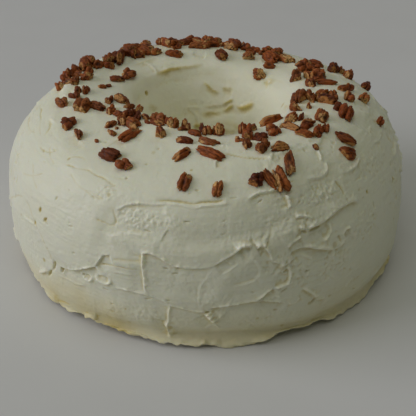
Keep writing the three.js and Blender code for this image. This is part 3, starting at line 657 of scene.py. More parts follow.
# Curls of icing in the hole, thin enough to look yellow: (strength, half-width, path).
STREAKS = (
    (0.35, 0.7, ((-126, 149.8), (-133, 150.8), (-139, 151.6), (-146, 151))),
    (1.2, 0.9, ((-134.8, 164.4), (-143.5, 165.6), (-148.8, 164.8), (-155.5, 165.2), (-161.5, 165.2))),
    (0.9, 0.8, ((-152, 164.6), (-161.5, 165.2), (-166, 164.4), (-172, 163), (-174.5, 161))),
    (0.9, 0.8, ((188, 174.4), (183.5, 177.2), (180.8, 178.8), (175, 180.8), (170, 180))),
    (0.8, 0.7, ((171, 177.4), (164.8, 176.4), (158.5, 175.8))),
    (0.5, 0.7, ((190, 191.8), (180.8, 191.2), (174.5, 190), (169.2, 188.8), (163, 186.2))),
    (1.2, 0.7, ((170, 189), (165.2, 187.2), (159.5, 184.4), (156, 183))),
    (0.9, 0.8, ((192, 197.4), (184, 196.4), (177.5, 195.6), (172.2, 194.8), (166, 192.4))),
    (1.4, 0.9, ((170, 194.2), (163.8, 191.6), (160.2, 189.6), (155, 186))),
    (1.4, 1.3, ((155.5, 185.6), (149.2, 187.2), (143.2, 185.6), (138, 183), (133.6, 180))),
    (1.3, 1.9, ((-176, 201), (177.5, 201), (173.5, 199), (170, 196.6))),
    (1.3, 1.3, ((-160.8, 204.4), (-166, 205.4), (-171, 204.6))),
    (0.5, 1.1, ((-116, 179.2), (-121, 182.6), (-125, 185), (-130, 187.4))),
    (0.7, 1.2, ((168, 206), (163.2, 206.4), (156.2, 206), (150, 205))),
    (0.45, 0.8, ((86, 170.4), (78, 168), (67, 164))),
    (0.4, 0.8, ((136, 161.8), (130, 161.4), (125, 160.4))),
    (0.5, 0.7, ((131, 160.6), (129.6, 164), (130.4, 168))),
)
# Torn patches: (azimuth, along, half-length, half-width, depth).
TORN_PATCHES = (
    (-19, 88, 19, 8, 0.5),
    (-11, 88, 10, 7, 0.35),
    (-31, 98, 8, 5, 0.45),
    (31, 93, 18, 8, 0.7),
    (17, 60, 12, 7, 0.6),
    (22, 53, 13, 11, 0.8),
    (33, 50, 14, 12, 0.6),
    (46, 66, 16, 12, 0.5),
    (12, 77, 12, 4, 0.35),
    (-12, 57, 9, 11, 0.1),
    (-31, 43, 12, 5, 0.15),
    (-23, 27, 20, 7, 0.18),
    (14, 22, 30, 9, 0.3),
    (55, 92, 16, 9, 0.3),
)
# Pits and tears: (azimuth, along, half-length, half-width, heading, depth).
PITS = (
    (-45.4, 39, 5.4, 1.4, 70, 2.4),
    (-47.6, 31, 4.0, 1.1, 55, 1.8),
    (-42.4, 39, 2.6, 1.0, 80, 1.6),
    (-34.6, 43.4, 1.6, 1.0, 60, 1.5),
    (-52, 71.5, 2.6, 0.9, 95, 1.2),
    (-49, 68, 2.4, 0.8, 60, 1.1),
    (-53.5, 61, 2.4, 0.7, 95, 1.1),
    (-47, 84, 1.4, 0.6, 90, 0.9),
    (-6.2, 89, 2.2, 0.5, 0, 0.8),
    (-28, 61.8, 2.4, 0.7, 30, 1.0),
    (-0.8, 34, 1.6, 0.9, 0, 1.0),
    (48.5, 81, 1.5, 1.0, 60, 1.5),
    (66, 72, 3.0, 0.6, 95, 1.0),
    (25, 52.5, 2.2, 0.6, 10, 0.9),
    (24.6, 76, 1.8, 0.9, -40, 1.0),
    (28, 75.6, 4.0, 0.8, 4, 0.9),
    (35, 65, 2.4, 0.8, -70, 1.0),
    (32.5, 29.5, 1.4, 0.7, 0, 0.9),
    (27.4, 31.4, 3.6, 1.0, 40, 0.9),
    (24, 18.5, 2.2, 0.6, 0, 0.8),
    (-122, 172.5, 1.8, 0.9, 90, 1.0),
)
# Burst bubbles with a raised rim: (azimuth, along, half-length, half-width, heading, height of the rim).
BUBBLES = (
    (-33.2, 43.4, 3.7, 2.4, 14, 0.9),
    (-28.2, 46.4, 4.4, 2.6, 2, 1.0),
)
# Flecks of butter or crumb in the icing, and painted shade in some of its pits and notches: (azimuth, along,
# radius, strength).
FLECKS = (
    (-52, 71.5, 2.0, 0.9),
    (-49, 68, 1.8, 0.7),
    (-53.5, 61, 1.6, 0.8),
    (-62, 56.5, 1.2, 0.4),
    (-45.4, 41, 1.4, 0.4),
    (-42.4, 40, 1.4, 0.5),
    (-6.5, 120, 1.3, 0.8),
    (-23, 131, 1.8, 0.35),
    (-51, 107.5, 1.3, 0.5),
    (-30, 97.5, 1.4, 0.5),
    (48.5, 81, 1.5, 1.0),
    (66, 72, 1.8, 0.6),
    (12, 27, 1.4, 0.5),
    (-22, 29, 0.9, 0.8),
    (-22, 17, 1.6, 0.35),
    (-47, 10, 3.2, 0.35),
    (-50, 38, 1.6, 0.6),
    (20, 13, 1.6, 0.5),
    (26, 30, 1.2, 0.6),
    (0.6, 34.4, 1.2, 0.5),
    (-10.4, 20, 2.2, 0.4),
    (33, 63, 2.0, 0.35),
    (18, 57.6, 1.8, 0.3),
    (-122, 172.5, 1.8, 0.9),
    (92, 171.5, 2.4, 0.5),
)

# ---- The icing's mesh -------------------------------------------------------------------------

ICING_AROUND = 1000
ICING_ALONG = 360
WARP_SAMPLES = 20001
FINER = 2.0  # the mesh is this many times finer where the photograph shows it
FINE_AZIMUTHS = (-75, -63, 63, 75)
FINE_ALONG = (0, 12, 106, 118)
END_FADE = 5.0  # the relief dies away over this distance at both ends of the section
HOLE_ALONG = 140  # the crest: farther along, the icing turns down into the hole
UNSEEN_TURNS = (116, -122)  # a mirrored mark's azimuth is one of these less its own
TURNED_SHARE = 0.75  # of the height, in the mirrored lips
SMALL_LIPS = 150
SMALL_LIP_SEED = 41
NICKS = 260
NICK_SEED = 43
FRONT_CRISPNESS = 0.3
HOLE_CRISPNESS = 0.25
GROOVE_SHADE = 0.35  # painted shade: grooves are made darker and yellower
STREAK_HEIGHT = 0.6  # the height of a curl in the hole, for its strength
STREAK_DROP = 0.5
STREAK_TAPER = 0.35

# Parts of the ring, each as the azimuths of a plateau: 0 up to the first, 1 between the middle two.
LEFT_SIDE = (-120, -80, -45, -5)
RIGHT_SIDE = (40, 70, 130, 170)
COARSE_RIGHT = (0, 30, 75, 100)
SPREAD_FOOT = (-45, -20, 130, 178)

# The icing's foot: a bead along its edge, a skirt that fills the undercut, and a cove above them.
FOOT_TOP = 14.0  # the skirt reaches this far up the section
EDGE_ALONG = (4, 10)  # the edge's lift and fray fade out between these
FOOT_LIFT = 4.4
LEAST_FLARE = 0.15  # the foot still spreads this much outside SPREAD_FOOT
BEAD_ALONG = 4.6
BEAD_REACH = 3.0
BEAD_SIZE = 1.7
BEAD_MOST = 3.2
COVE_ALONG = 12.5
COVE_REACH = 6.0
COVE_DEPTH = 3.8
COVE_MOST = 5.0
# Where the icing's edge stands clear of what the cake is on: (azimuth, reach, share of the full lift).
FOOT_GAPS = ((-28, 22, 0.8), (25, 11, 1.0), (62, 9, 0.7))

# How much of each other colour the icing has, and where, painted light and painted shade among them.
BLUR_STEPS = 4  # the icing is proud or hollow against its mean this many steps around
LIP_PROUD = (0.1, 0.7)
CREASE_HOLLOW = (0.05, 0.5)
DEEP_HOLLOW = (0.35, 1.0)
IN_HOLE = (150, 165)
# painted shade in the creases
CREASE_SHADE = 0.4
LIP_CREAM = 0.05
LOW_CREAM = 0.32
EDGE_CREAM = 0.2
LEFT_EDGE_CREAM = 0.65
STREAK_CREAM = 0.95
STREAK_FLECK = 0.25
# painted shade in the deep hollows
DEEP_SHADE = 0.3
# painted light on the lips
LIP_PAINTED_LIGHT = 0.75


def turned_ridges(turn):
    """The front's lips mirrored round to a side that the photograph doesn't show, and fainter."""
    for size, width, drop, path in RIDGES:
        mirrored = tuple((turn - azimuth, along) for azimuth, along in reversed(path))
        yield TURNED_SHARE * size, width, TURNED_SHARE * drop, mirrored


def seen_and_turned(marks):
    """The front's patches or pits, and the same mirrored round to the sides that aren't shown."""
    yield from marks
    for turn in UNSEEN_TURNS:
        for azimuth, *rest in marks:
            yield (turn - azimuth, *rest)


def small_lips(count):
    """Short faint lips all over, (height, width, drop, path) each, but few where the front ones are."""
    rng = np.random.default_rng(SMALL_LIP_SEED)
    while count:
        azimuth, along = rng.uniform(-180, 180), rng.uniform(8, 200)
        length = rng.uniform(5, 18)
        heading = rng.normal(0, 22) + 90 * (rng.random() < 0.15)
        bend = rng.normal(0, 0.12) * length
        size, drop = rng.uniform(0.2, 0.6), rng.uniform(0.1, 0.6)
        if abs(azimuth) < 62 and along < 118 or along > HOLE_ALONG and rng.random() < 0.7:
            continue
        radius = float(section_point(along)[0])
        c, s = math.cos(math.radians(heading)), math.sin(math.radians(heading))
        places = [(-length / 2, 0), (0, bend), (length / 2, 0)]
        turned = [(x * c - y * s, x * s + y * c) for x, y in places]
        path = [(azimuth + math.degrees(x / radius), along + y) for x, y in turned]
        yield size, rng.uniform(0.8, 1.4), drop, path
        count -= 1


def nicks(count):
    """Short shallow cuts where the spatula dragged the icing open, as pits."""
    rng = np.random.default_rng(NICK_SEED)
    for _ in range(count):
        azimuth, along = rng.uniform(-180, 180), rng.uniform(12, 135)
        length, width = rng.uniform(0.8, 2.4), rng.uniform(0.35, 0.6)
        yield azimuth, along, length, width, rng.normal(0, 16), rng.uniform(0.3, 0.8)


def fine_grain(sheet):
    """Small unevenness all over, coarser low at the front and at the right."""
    azimuth, along, plain = sheet.azimuth, sheet.along, sheet.plain
    ripples = 0.15 * noise(plain, 9.0, 5) + 0.08 * noise(plain @ GRAIN_TURN, 3.6, 6)
    drags = noise(np.concatenate([plain[..., :2] / 9, along[..., None] / 1.2], -1), 1.0, 16)
    rough = smooth_step(-0.2, 0.7, sheet.patchy)
    to_front = 1 - smooth_step(60, 110, np.abs(azimuth))
    to_right = plateau(azimuth, *COARSE_RIGHT)
    coarser = 1 + 0.7 * (1 - smooth_step(40, 105, along)) * to_front
    coarser = coarser + 1.7 * (1 - smooth_step(95, 125, along)) * to_right
    return ripples + (0.07 + 0.1 * rough) * coarser * sheet.crumbs + 0.06 * coarser * drags


def iced_sheet(azimuth, along):
    """The icing with all its marks, in the order in which they lie on each other."""
    sheet = IcingSheet(azimuth, along)
    for stroke in course_strokes():
        sheet.lay_stroke(stroke, 1.0 if stroke[1] < HOLE_ALONG else HOLE_CRISPNESS)
    for stroke in FRONT_STROKES:
        sheet.lay_stroke(stroke, FRONT_CRISPNESS)
    for patch in seen_and_turned(TORN_PATCHES):
        sheet.roughen(patch)
    for ridge in itertools.chain(RIDGES, HOLE_RIDGES, *map(turned_ridges, UNSEEN_TURNS)):
        # grooves get painted shade
        sheet.add_ridge(ridge, GROOVE_SHADE if ridge[0] < 0 else 0)
    for strength, half_width, path in STREAKS:
        curl = (STREAK_HEIGHT * strength, 2 * half_width, STREAK_DROP, path)
        sheet.add_ridge(curl, strength, STREAK_TAPER)
    for ridge in small_lips(SMALL_LIPS):
        sheet.add_ridge(ridge)
    for bubble in BUBBLES:
        sheet.open_bubble(bubble)
    for pit in itertools.chain(seen_and_turned(PITS), nicks(NICKS)):
        sheet.dig(pit)
    sheet.height = sheet.height + fine_grain(sheet)
    fade = smooth_step(0, END_FADE, along) * smooth_step(0, END_FADE, SECTION_LENGTH - along)
    sheet.height = sheet.height * fade
    return sheet


def fleck_and_shade_shares(sheet):
    """How much of a fleck's colour each point of the icing has; in some pits and notches it is painted shade.
    """
    share = np.zeros(sheet.height.shape)
    for middle, level, radius, strength in FLECKS:
        onward, across = sheet.local(middle, level, 0)
        apart = np.hypot(onward, across) / radius + 0.3 * sheet.fray
        share = np.maximum(share, strength * (1 - smooth_step(0.4, 1.1, apart)))
    return share


def blurred(height, reach):
    """The height averaged over a square of reach steps each way; it wraps round the ring."""
    wrapped = np.concatenate([height[:, -reach:], height, height[:, :reach]], 1)
    padded = np.concatenate([wrapped[:1]] * reach + [wrapped] + [wrapped[-1:]] * reach, 0)
    total = np.cumsum(np.cumsum(np.pad(padded, ((1, 0), (1, 0))), 0), 1)
    size = 2 * reach + 1
    block = total[size:, size:] - total[:-size, size:] - total[size:, :-size] + total[:-size, :-size]
    return block / size**2


def warped_steps(count, low, high, dense):
    """Steps from low to high, closer together over the dense plateau."""
    places = np.linspace(low, high, WARP_SAMPLES)
    weight = 1 + (FINER - 1) * plateau(places, *dense)
    share = np.cumsum(weight) - weight[0]
    return np.interp(np.arange(count) / (count - 1) * share[-1], share, places)


def ring_faces(rows, columns):
    """Quads of a grid that closes on itself both ways."""
    row, column = np.meshgrid(np.arange(rows), np.arange(columns), indexing="ij")
    low, high = row * columns, ((row + 1) % rows) * columns
    after = (column + 1) % columns
    return np.stack([low + column, low + after, high + after, high + column], -1).reshape(-1, 4)


def new_piece(name, vertices, faces, attributes, material):
    """A smooth-shaded mesh object; vertices are in millimetres, and attributes have a value for each."""
    mesh = bpy.data.meshes.new(name)
    mesh.from_pydata((np.asarray(vertices) * MM).tolist(), [], np.asarray(faces).tolist())
    for label, values in attributes.items():
        mesh.attributes.new(label, "FLOAT", "POINT").data.foreach_set("value", np.ravel(values))
    mesh.polygons.foreach_set("use_smooth", np.ones(len(mesh.polygons), bool))
    mesh.update()
    mesh.materials.append(material)
    piece = bpy.data.objects.new(name, mesh)
    bpy.context.collection.objects.link(piece)
    return piece


def foot_lift(level, azimuth):
    """How far the icing's edge is lifted, as a share of the most."""
    lift = 0.7 * np.clip(1.3 * noise(level, 19.0, 8) + 0.4 * noise(level, 4.0, 9), 0, 1)
    for middle, reach, size in FOOT_GAPS:
        in_gap = np.exp(-(((azimuth - middle) / reach) ** 4))
        lift = np.maximum(lift, size * in_gap * (0.85 + 0.3 * noise(level, 5.0, 13)))
    return lift


def foot_spread(level, azimuth, along):
    """How far the icing's foot stands out with its bead and skirt, less the cove above them."""
    flared = LEAST_FLARE + (1 - LEAST_FLARE) * plateau(azimuth, *SPREAD_FOOT)
    bead = (BEAD_SIZE + noise(level, 24.0, 15) + 0.9 * noise(level, 6.0, 17)).clip(0, BEAD_MOST)
    bead = bead * hill(along - BEAD_ALONG, BEAD_REACH) * (0.5 + 0.5 * flared)
    undercut = (section_point(FOOT_TOP)[0] - section_point(along)[0]).clip(0) * (along < FOOT_TOP)
    skirt = flared * undercut * (0.5 + 0.35 * noise(level, 27.0, 23)).clip(0.1, 0.8)
    cove = (COVE_DEPTH + 1.4 * noise(level, 30.0, 21)).clip(0, COVE_MOST)
    return bead + skirt - flared * cove * hill(along - COVE_ALONG, COVE_REACH)


def ragged_foot(points, azimuth, along):
    """Spreads the icing's lower edge, and lifts and frays it where it was wiped."""
    level = points * (1, 1, 0)
    lift = foot_lift(level, azimuth)
    near_edge = 1 - smooth_step(*EDGE_ALONG, along)
    fray = 1.1 * noise(points, 9.0, 10) + 0.9 * noise(points, 3.0, 12)
    outward = np.stack([np.sin(np.radians(azimuth)), -np.cos(np.radians(azimuth)), 0 * azimuth], -1)
    points = points + outward * (near_edge * fray + foot_spread(level, azimuth, along))[..., None]
    ragged = 0.55 * noise(level, 2.2, 22) * (0.3 + 0.7 * smooth_step(0, 0.3, lift))
    points[..., 2] += (FOOT_LIFT * lift + ragged) * near_edge
    points[..., 2] = np.maximum(points[..., 2], 0)
    return points


def icing_shares(sheet, points):
    """How much of each of the icing's other colours every point has, painted light and painted shade among
    them.
    """
    azimuth, along = sheet.azimuth, sheet.along
    proud = sheet.height - blurred(sheet.height, BLUR_STEPS)
    lip = smooth_step(*LIP_PROUD, proud)
    crease = smooth_step(*CREASE_HOLLOW, -proud)
    deep = smooth_step(*DEEP_HOLLOW, -proud)
    in_hole = smooth_step(*IN_HOLE, along)
    left_side = plateau(azimuth, *LEFT_SIDE)
    right_side = plateau(azimuth, *RIGHT_SIDE)
    left_foot = smooth_step(-14, -30, azimuth) * (1 - 0.6 * smooth_step(-42, -54, azimuth))
    left_foot = left_foot * (1 - smooth_step(-120, -170, azimuth))
    low = 1 - smooth_step(4, 46, along + 9 * noise(points, 26.0, 14))
    edge = 1 - smooth_step(9 + 5 * left_foot, 24 + 18 * left_foot, along + 4 * noise(points, 12.0, 18))
    edge = edge * np.clip(0.8 + 0.4 * noise(points, 16.0, 19), 0, 1)
    # Painted shade in the creases and grooves, in the butter colour; the icing is also yellower and darker in
    # the hole, low down, along the edge (most at the left foot) and in thin curls.
    cream = CREASE_SHADE * crease + LIP_CREAM * lip + LOW_CREAM * low * (1 - 0.85 * left_side)
    cream = cream + in_hole * (0.05 + 0.15 * crease + 0.1 * lip)
    cream = cream + (EDGE_CREAM + LEFT_EDGE_CREAM * left_foot) * edge + STREAK_CREAM * sheet.yellow_and_shade
    # Painted shade: deep hollows take the dark speck colour.
    fleck_and_shade = np.maximum(STREAK_FLECK * sheet.yellow_and_shade, DEEP_SHADE * deep)
    # Painted light: the wall of the hole (but for its right side), the edge (but for the left foot) and the
    # lips are made paler, as thin icing lets light through.
    painted_light = np.maximum(in_hole * (1 - right_side), edge * (1 - left_foot))
    return {
        "cream": np.clip(cream, 0, 1),
        "fleck_and_shade": np.maximum(fleck_and_shade, fleck_and_shade_shares(sheet)),
        "painted_light": np.maximum(painted_light, LIP_PAINTED_LIGHT * lip),
    }


def make_icing(material):
    """The icing as one closed mesh, finest where the photograph shows it."""
    azimuth = warped_steps(ICING_AROUND + 1, -180, 180, FINE_AZIMUTHS)[:-1]
    along = warped_steps(ICING_ALONG, 0, SECTION_LENGTH, FINE_ALONG)
    azimuth, along = np.meshgrid(azimuth, along)
    sheet = iced_sheet(azimuth, along)
    points = ragged_foot(surface_at(azimuth, along, sheet.height)[0], azimuth, along)
    faces = ring_faces(ICING_ALONG, ICING_AROUND)
    piece = new_piece("icing", points.reshape(-1, 3), faces, icing_shares(sheet, points), material)
    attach(piece, "root")
    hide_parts(CAD_NODE)


# ---- The nuts ---------------------------------------------------------------------------------

SHAPE_SEED = 5
CRUMB_LENGTH = 6.5  # pieces up to this long have a coarser mesh
CRUMB_SUBDIVISIONS = 3
NUT_SUBDIVISIONS = 4
NUT_FULLNESS = 1.2  # the solid's few facets cut the pieces' corners off

# A piece is slim if its length is over SLIM_WIDTHS widths, and those are over SLIM_HEIGHTS heights.
SLIM_WIDTHS = 1.4
SLIM_HEIGHTS = 1.25
# The rest of a piece's shape, in shares of its half-sizes.
CORE_REACH = 0.4
FURROW_WIDTH = 0.07
FURROW_DEPTH = 0.14
SKIN_EDGES = (-0.045, -0.005)  # cut to the first below its lobes, a piece has lost its skin
FACING_CUT = 0.05  # the least slope of a ray that a broken face cuts off
NO_CUT = 9.0  # farther than any ray reaches
CRAG_EDGE = 0.22
CRAG_DEPTH = 0.17
CRINKLE_EDGE = 0.26
CRINKLE_DEPTH = 0.1


def place_nuts():
    """The nuts' places, the same as in the solid: one dictionary each."""
    draw = seeded_draw(NUT_SEED)
    shade = seeded_draw(SHADE_SEED)
    keys = ("azimuth", "radius", "length", "width", "height", "heading", "dark")
    nuts = [dict(zip(keys, values), tip=0, lift=0) for values in PLACED_NUTS]

    def chop_size():
        length = LEAST_CHOP + CHOP_SPREAD * next(draw) ** CHOP_SKEW
        width = min(length * (0.55 + 0.4 * next(draw)), WIDEST_CHOP)
        return {"length": length, "width": width, "height": width * (0.65 + 0.25 * next(draw))}

    def is_clear(a, b):
        a_turn, b_turn = math.radians(a["azimuth"]), math.radians(b["azimuth"])
        dx = a["radius"] * math.sin(a_turn) - b["radius"] * math.sin(b_turn)
        dy = a["radius"] * math.cos(a_turn) - b["radius"] * math.cos(b_turn)
        return math.hypot(dx, dy) > CLEAR_SHARE * (a["length"] + b["length"]) / 2

    for sector, (count, middle, half_width) in enumerate(BAND):
        full = len(nuts) + count
        while len(nuts) < full:
            nut = {"azimuth": 360 / len(BAND) * (sector + next(draw) - 0.5)}
            nut["radius"] = middle + half_width * (next(draw) + next(draw) - 1)
            nut.update(chop_size())
            nut["heading"] = 360 * next(draw)
            nut["tip"] = 40 * (next(draw) - 0.5)
            nut["lift"] = 0
            if all(is_clear(nut, other) for other in nuts):
                nuts.append(nut)
    bottom = len(nuts)
    for _ in range(PILED_NUTS):
        under = nuts[len(PLACED_NUTS) + int(next(draw) * (bottom - len(PLACED_NUTS)))]
        nut = {"azimuth": under["azimuth"] + 4 * (next(draw) - 0.5)}
        nut["radius"] = under["radius"] + 5 * (next(draw) - 0.5)
        nut.update(chop_size())
        nut["lift"] = 0.35 * under["height"]
        nut["heading"] = 360 * next(draw)
        nut["tip"] = 60 * (next(draw) - 0.5)
        nuts.append(nut)
    for nut in nuts:
        nut.setdefault("dark", next(shade))
    return nuts


def unit_ball(subdivisions):
    """Directions (N, 3) and triangles of a ball."""
    ball = bmesh.new()
    bmesh.ops.create_icosphere(ball, subdivisions=subdivisions, radius=1)
    ball.verts.index_update()
    directions = np.array([v.co[:] for v in ball.verts])
    faces = np.array([[v.index for v in f.verts] for f in ball.faces])
    ball.free()
    return directions / np.linalg.norm(directions, axis=1)[:, None], faces


def nut_lobes(slim, rng):
    """Lobes of a chopped piece as (middles, half-sizes), in shares of the piece's own half-sizes."""
    if slim:
        count = rng.integers(2, 4)
        across = np.linspace(-0.45, 0.45, count) + rng.uniform(-0.08, 0.08, count)
        onward = rng.uniform(-0.15, 0.15, count)
        above = 0.25 * (count - 2) * (1 - np.abs(across) / 0.45)
        half_width = np.full(count, 0.66 - 0.1 * (count - 2))
        sizes = np.stack([rng.uniform(0.8, 1.0, count), half_width, rng.uniform(0.7, 0.95, count)], -1)
        return np.stack([onward, across, above], -1), sizes
    count = rng.integers(3, 6)
    turn = 2 * math.pi * (np.arange(count) + rng.uniform(-0.3, 0.3, count)) / count
    apart = rng.uniform(0.32, 0.56, count)
    middles = np.stack([apart * np.cos(turn), apart * np.sin(turn), rng.uniform(-0.2, 0.35, count)], -1)
    return middles, rng.uniform(0.46, 0.7, (count, 3))


def ray_reach(directions, middle, sizes):
    """How far rays from the origin go before they leave an ellipsoid for good; 0 where they miss it."""
    start, course = -middle / sizes, directions / sizes
    a, b, c = (course**2).sum(1), course @ start, start @ start - 1
    inside = b * b - a * c
    return np.where(inside > 0, (-b + np.sqrt(np.maximum(inside, 0))) / a, 0).clip(0)


def nut_shape(directions, nut, rng):
    """A chopped piece of a pecan half, lying along +X.

    Gives its points, and at each how far it is skin, and how deep in a furrow or a crack, which the material
    darkens as painted shade.
    """
    half = np.array([nut["length"], nut["width"], nut["height"]]) / 2
    slim = nut["length"] > SLIM_WIDTHS * nut["width"] > SLIM_HEIGHTS * nut["height"]
    jitter = rng.uniform(0, 90, (4, 3))
    # The lobes of the half meet in sharp furrows, darkened by painted shade.
    reaches = [ray_reach(directions, *lobe) for lobe in zip(*nut_lobes(slim, rng))]
    reaches = np.sort(np.array(reaches + [np.full(len(directions), CORE_REACH)]), 0)
    lobed, next_lobe = reaches[-1], reaches[-2]
    furrow = hill(lobed - next_lobe, FURROW_WIDTH)
    lobed = lobed * (1 - FURROW_DEPTH * furrow + 0.07 * noise(directions * 1.7 + jitter[0], 1.0, 31))
    # Chopping leaves broken faces, and cracks and hollows between its crags, which get painted shade.
    reach = lobed.copy()
    for cut in range(rng.integers(2, 4)):
        facing = np.array([1.0 if cut % 2 else -1.0, *rng.normal(0, 0.45, 2)])
        if cut > 1:
            facing = rng.normal(0, 1, 3) * (0.5, 1, 1)
        facing /= np.linalg.norm(facing)
        depth = rng.uniform(0.6, 0.9) if slim and cut < 2 else rng.uniform(0.5, 0.8)
        slope = directions @ facing
        plane = np.where(slope > FACING_CUT, depth / np.maximum(slope, FACING_CUT), NO_CUT)
        reach = np.minimum(reach, plane * (1 + 0.12 * noise(directions * 2.8 + jitter[1], 1.0, cut + 20)))
    skin = smooth_step(*SKIN_EDGES, reach - lobed)
    # Painted shade: the cracks and hollows are marked for the material's near-black.
    crack_shade = np.zeros(len(directions))
    for _ in range(rng.integers(1, 4)):
        middle = rng.normal(0, 1, 3)
        middle /= np.linalg.norm(middle)
        hollow = hill(1 - directions @ middle, rng.uniform(0.04, 0.12))
        reach = reach * (1 - rng.uniform(0.12, 0.34) * hollow)
        crack_shade = np.maximum(crack_shade, hollow)
    crags = np.abs(noise(directions * 2.6 + jitter[2], 1.0, 32))
    crinkles = np.abs(noise(directions * 4.2 + jitter[3], 1.0, 33))
    dents = CRAG_DEPTH * smooth_step(CRAG_EDGE, 0.0, crags)
    dents = dents + CRINKLE_DEPTH * smooth_step(CRINKLE_EDGE, 0.0, crinkles)
    reach = reach * (1.05 - dents)
    reach = reach * (1 + 0.035 * noise(directions * 8 + jitter[2], 1.0, 34))
    crack_shade = np.maximum(crack_shade, 0.8 * smooth_step(0.17, 0.0, crags))
    crack_shade = np.maximum(crack_shade, 0.65 * smooth_step(0.18, 0.0, crinkles))
    points = directions * reach[:, None]
    low, high = points.min(0), points.max(0)
    points = (points - (low + high) / 2) * 2 * half / (high - low)
    return points, skin, np.maximum(furrow * skin, crack_shade)


def nut_pose(nut, point, normal):
    """Where a nut lies on the icing: its middle and its three directions, as a (3, 3) of rows."""
    angle = math.radians(nut["heading"])
    heading = np.array([math.cos(angle), math.sin(angle), 0.0])
    heading -= normal * heading.dot(normal)
    heading /= np.linalg.norm(heading)
    tip = math.radians(nut["tip"])
    forward = heading * math.cos(tip) + normal * math.sin(tip)
    above = normal * math.cos(tip) - heading * math.sin(tip)
    side = np.cross(above, forward)
    middle = point + normal * (nut["height"] * (0.5 - NUT_SINK) + nut["lift"])
    return middle, np.stack([forward, side, above])


def make_nuts(material):
    """All the nuts as one mesh; every piece has its own shape and tone."""
    nuts = place_nuts()
    rng = np.random.default_rng(SHAPE_SEED)
    azimuth = np.array([nut["azimuth"] for nut in nuts], float)
    along = along_at_radius(np.array([nut["radius"] for nut in nuts], float))
    spots, normals = surface_at(azimuth, along, iced_sheet(azimuth, along).height)
    balls = {level: unit_ball(level) for level in (CRUMB_SUBDIVISIONS, NUT_SUBDIVISIONS)}
    points, faces = [], []
    attributes = {"skin": [], "furrow": [], "dark": [], "tone": []}
    total = 0
    for nut, spot, normal in zip(nuts, spots, normals):
        is_crumb = nut["length"] <= CRUMB_LENGTH
        directions, triangles = balls[CRUMB_SUBDIVISIONS if is_crumb else NUT_SUBDIVISIONS]
        shape, skin, furrow = nut_shape(directions, nut, rng)
        middle, axes = nut_pose(nut, spot, normal)
        points.append(middle + NUT_FULLNESS * shape @ axes)
        faces.append(triangles + total)
        total += len(directions)
        everywhere = np.ones(len(directions))
        attributes["skin"].append(skin)
        attributes["furrow"].append(furrow)
        attributes["dark"].append(nut["dark"] * everywhere)
        attributes["tone"].append(rng.random() * everywhere)
    attributes = {label: np.concatenate(values) for label, values in attributes.items()}
    piece = new_piece("pecan_pieces", np.concatenate(points), np.concatenate(faces), attributes, material)
    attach(piece, "root")
    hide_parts(CAD_NODE)


# ---- Materials --------------------------------------------------------------------------------

# The Mix node's sockets for colours, which share their names with those for other data.
MIX_FACTOR = 0
MIX_FIRST = 6
MIX_SECOND = 7
MIX_RESULT = 2


class Shader:
    """A Principled material with short ways of adding nodes; sizes of textures are in millimetres."""

    def __init__(self, name, **constants):
        self.material = bpy.data.materials.new(name)
        self.material.use_nodes = True
        self.tree = self.material.node_tree
        self.surface = self.tree.nodes["Principled BSDF"]
        self.place = self.tree.nodes.new("ShaderNodeTexCoord").outputs["Object"]
        for socket, value in constants.items():
            self.surface.inputs[socket.replace("_", " ")].default_value = value

    def add(self, kind, output, sockets, **settings):
        """A new node's output; a socket is given another node's output or a value."""
        node = self.tree.nodes.new(kind)
        for label, value in settings.items():
            setattr(node, label, value)
        for socket, value in sockets.items():
            if isinstance(value, bpy.types.NodeSocket):
                self.tree.links.new(value, node.inputs[socket])
            else:
                node.inputs[socket].default_value = value
        return node.outputs[output]

    def attribute(self, name):
        return self.add("ShaderNodeAttribute", "Fac", {}, attribute_name=name)

    def noise(self, wavelength, detail):
        sockets = {"Vector": self.place, "Scale": 1 / (wavelength * MM), "Detail": detail}
        return self.add("ShaderNodeTexNoise", "Fac", sockets)

    def remap(self, value, low, high, to_low=0.0, to_high=1.0):
        sockets = {"Value": value, "From Min": low, "From Max": high, "To Min": to_low, "To Max": to_high}
        return self.add("ShaderNodeMapRange", "Result", sockets)

    def maths(self, operation, first, second):
        return self.add("ShaderNodeMath", "Value", {0: first, 1: second}, operation=operation, use_clamp=True)

    def mix(self, share, first, second):
        """The first colour, and as much of the second as the share says."""
        sockets = {MIX_FACTOR: share, MIX_FIRST: first, MIX_SECOND: second}
        return self.add("ShaderNodeMix", MIX_RESULT, sockets, data_type="RGBA")

    def bump(self, height, distance, strength=1.0, under=None):
        sockets = {"Height": height, "Distance": distance * MM, "Strength": strength}
        if under:
            sockets["Normal"] = under
        return self.add("ShaderNodeBump", "Normal", sockets)

    def wear(self, socket, value):
        """Joins a node's output to one of the surface's own sockets."""
        self.tree.links.new(value, self.surface.inputs[socket])


def icing_material():
    shader = Shader(
        "cream_cheese_icing",
        Subsurface_Weight=0.25,
        Subsurface_Radius=(1.0, 0.8, 0.42),
        Subsurface_Scale=0.003,
        IOR=1.45,
        Specular_IOR_Level=0.4,
    )
    ivory = (0.80, 0.795, 0.61, 1)
    pale = (0.84, 0.845, 0.68, 1)
    # painted light: the pale colour of the hole's wall, the edge and the lips
    painted_light = (0.97, 0.96, 0.78, 1)
    # the butter colour, which is also painted shade in the creases and grooves
    butter_and_shade = (0.72, 0.60, 0.25, 1)
    # the speck colour, which is also painted shade in deep hollows and some pits
    speck_and_shade = (0.54, 0.41, 0.06, 1)
    colour = shader.mix(shader.noise(26, 3), ivory, pale)
    colour = shader.mix(shader.attribute("painted_light"), colour, painted_light)
    colour = shader.mix(shader.attribute("cream"), colour, butter_and_shade)
    colour = shader.mix(shader.attribute("fleck_and_shade"), colour, speck_and_shade)
    shader.wear("Base Color", colour)
    shader.wear("Roughness", shader.remap(shader.noise(5, 2), 0.3, 0.7, 0.38, 0.56))
    normal = shader.bump(shader.noise(2.2, 3), 0.16)
    normal = shader.bump(shader.noise(0.6, 2), 0.10, 0.8, normal)
    shader.wear("Normal", normal)
    return shader.material


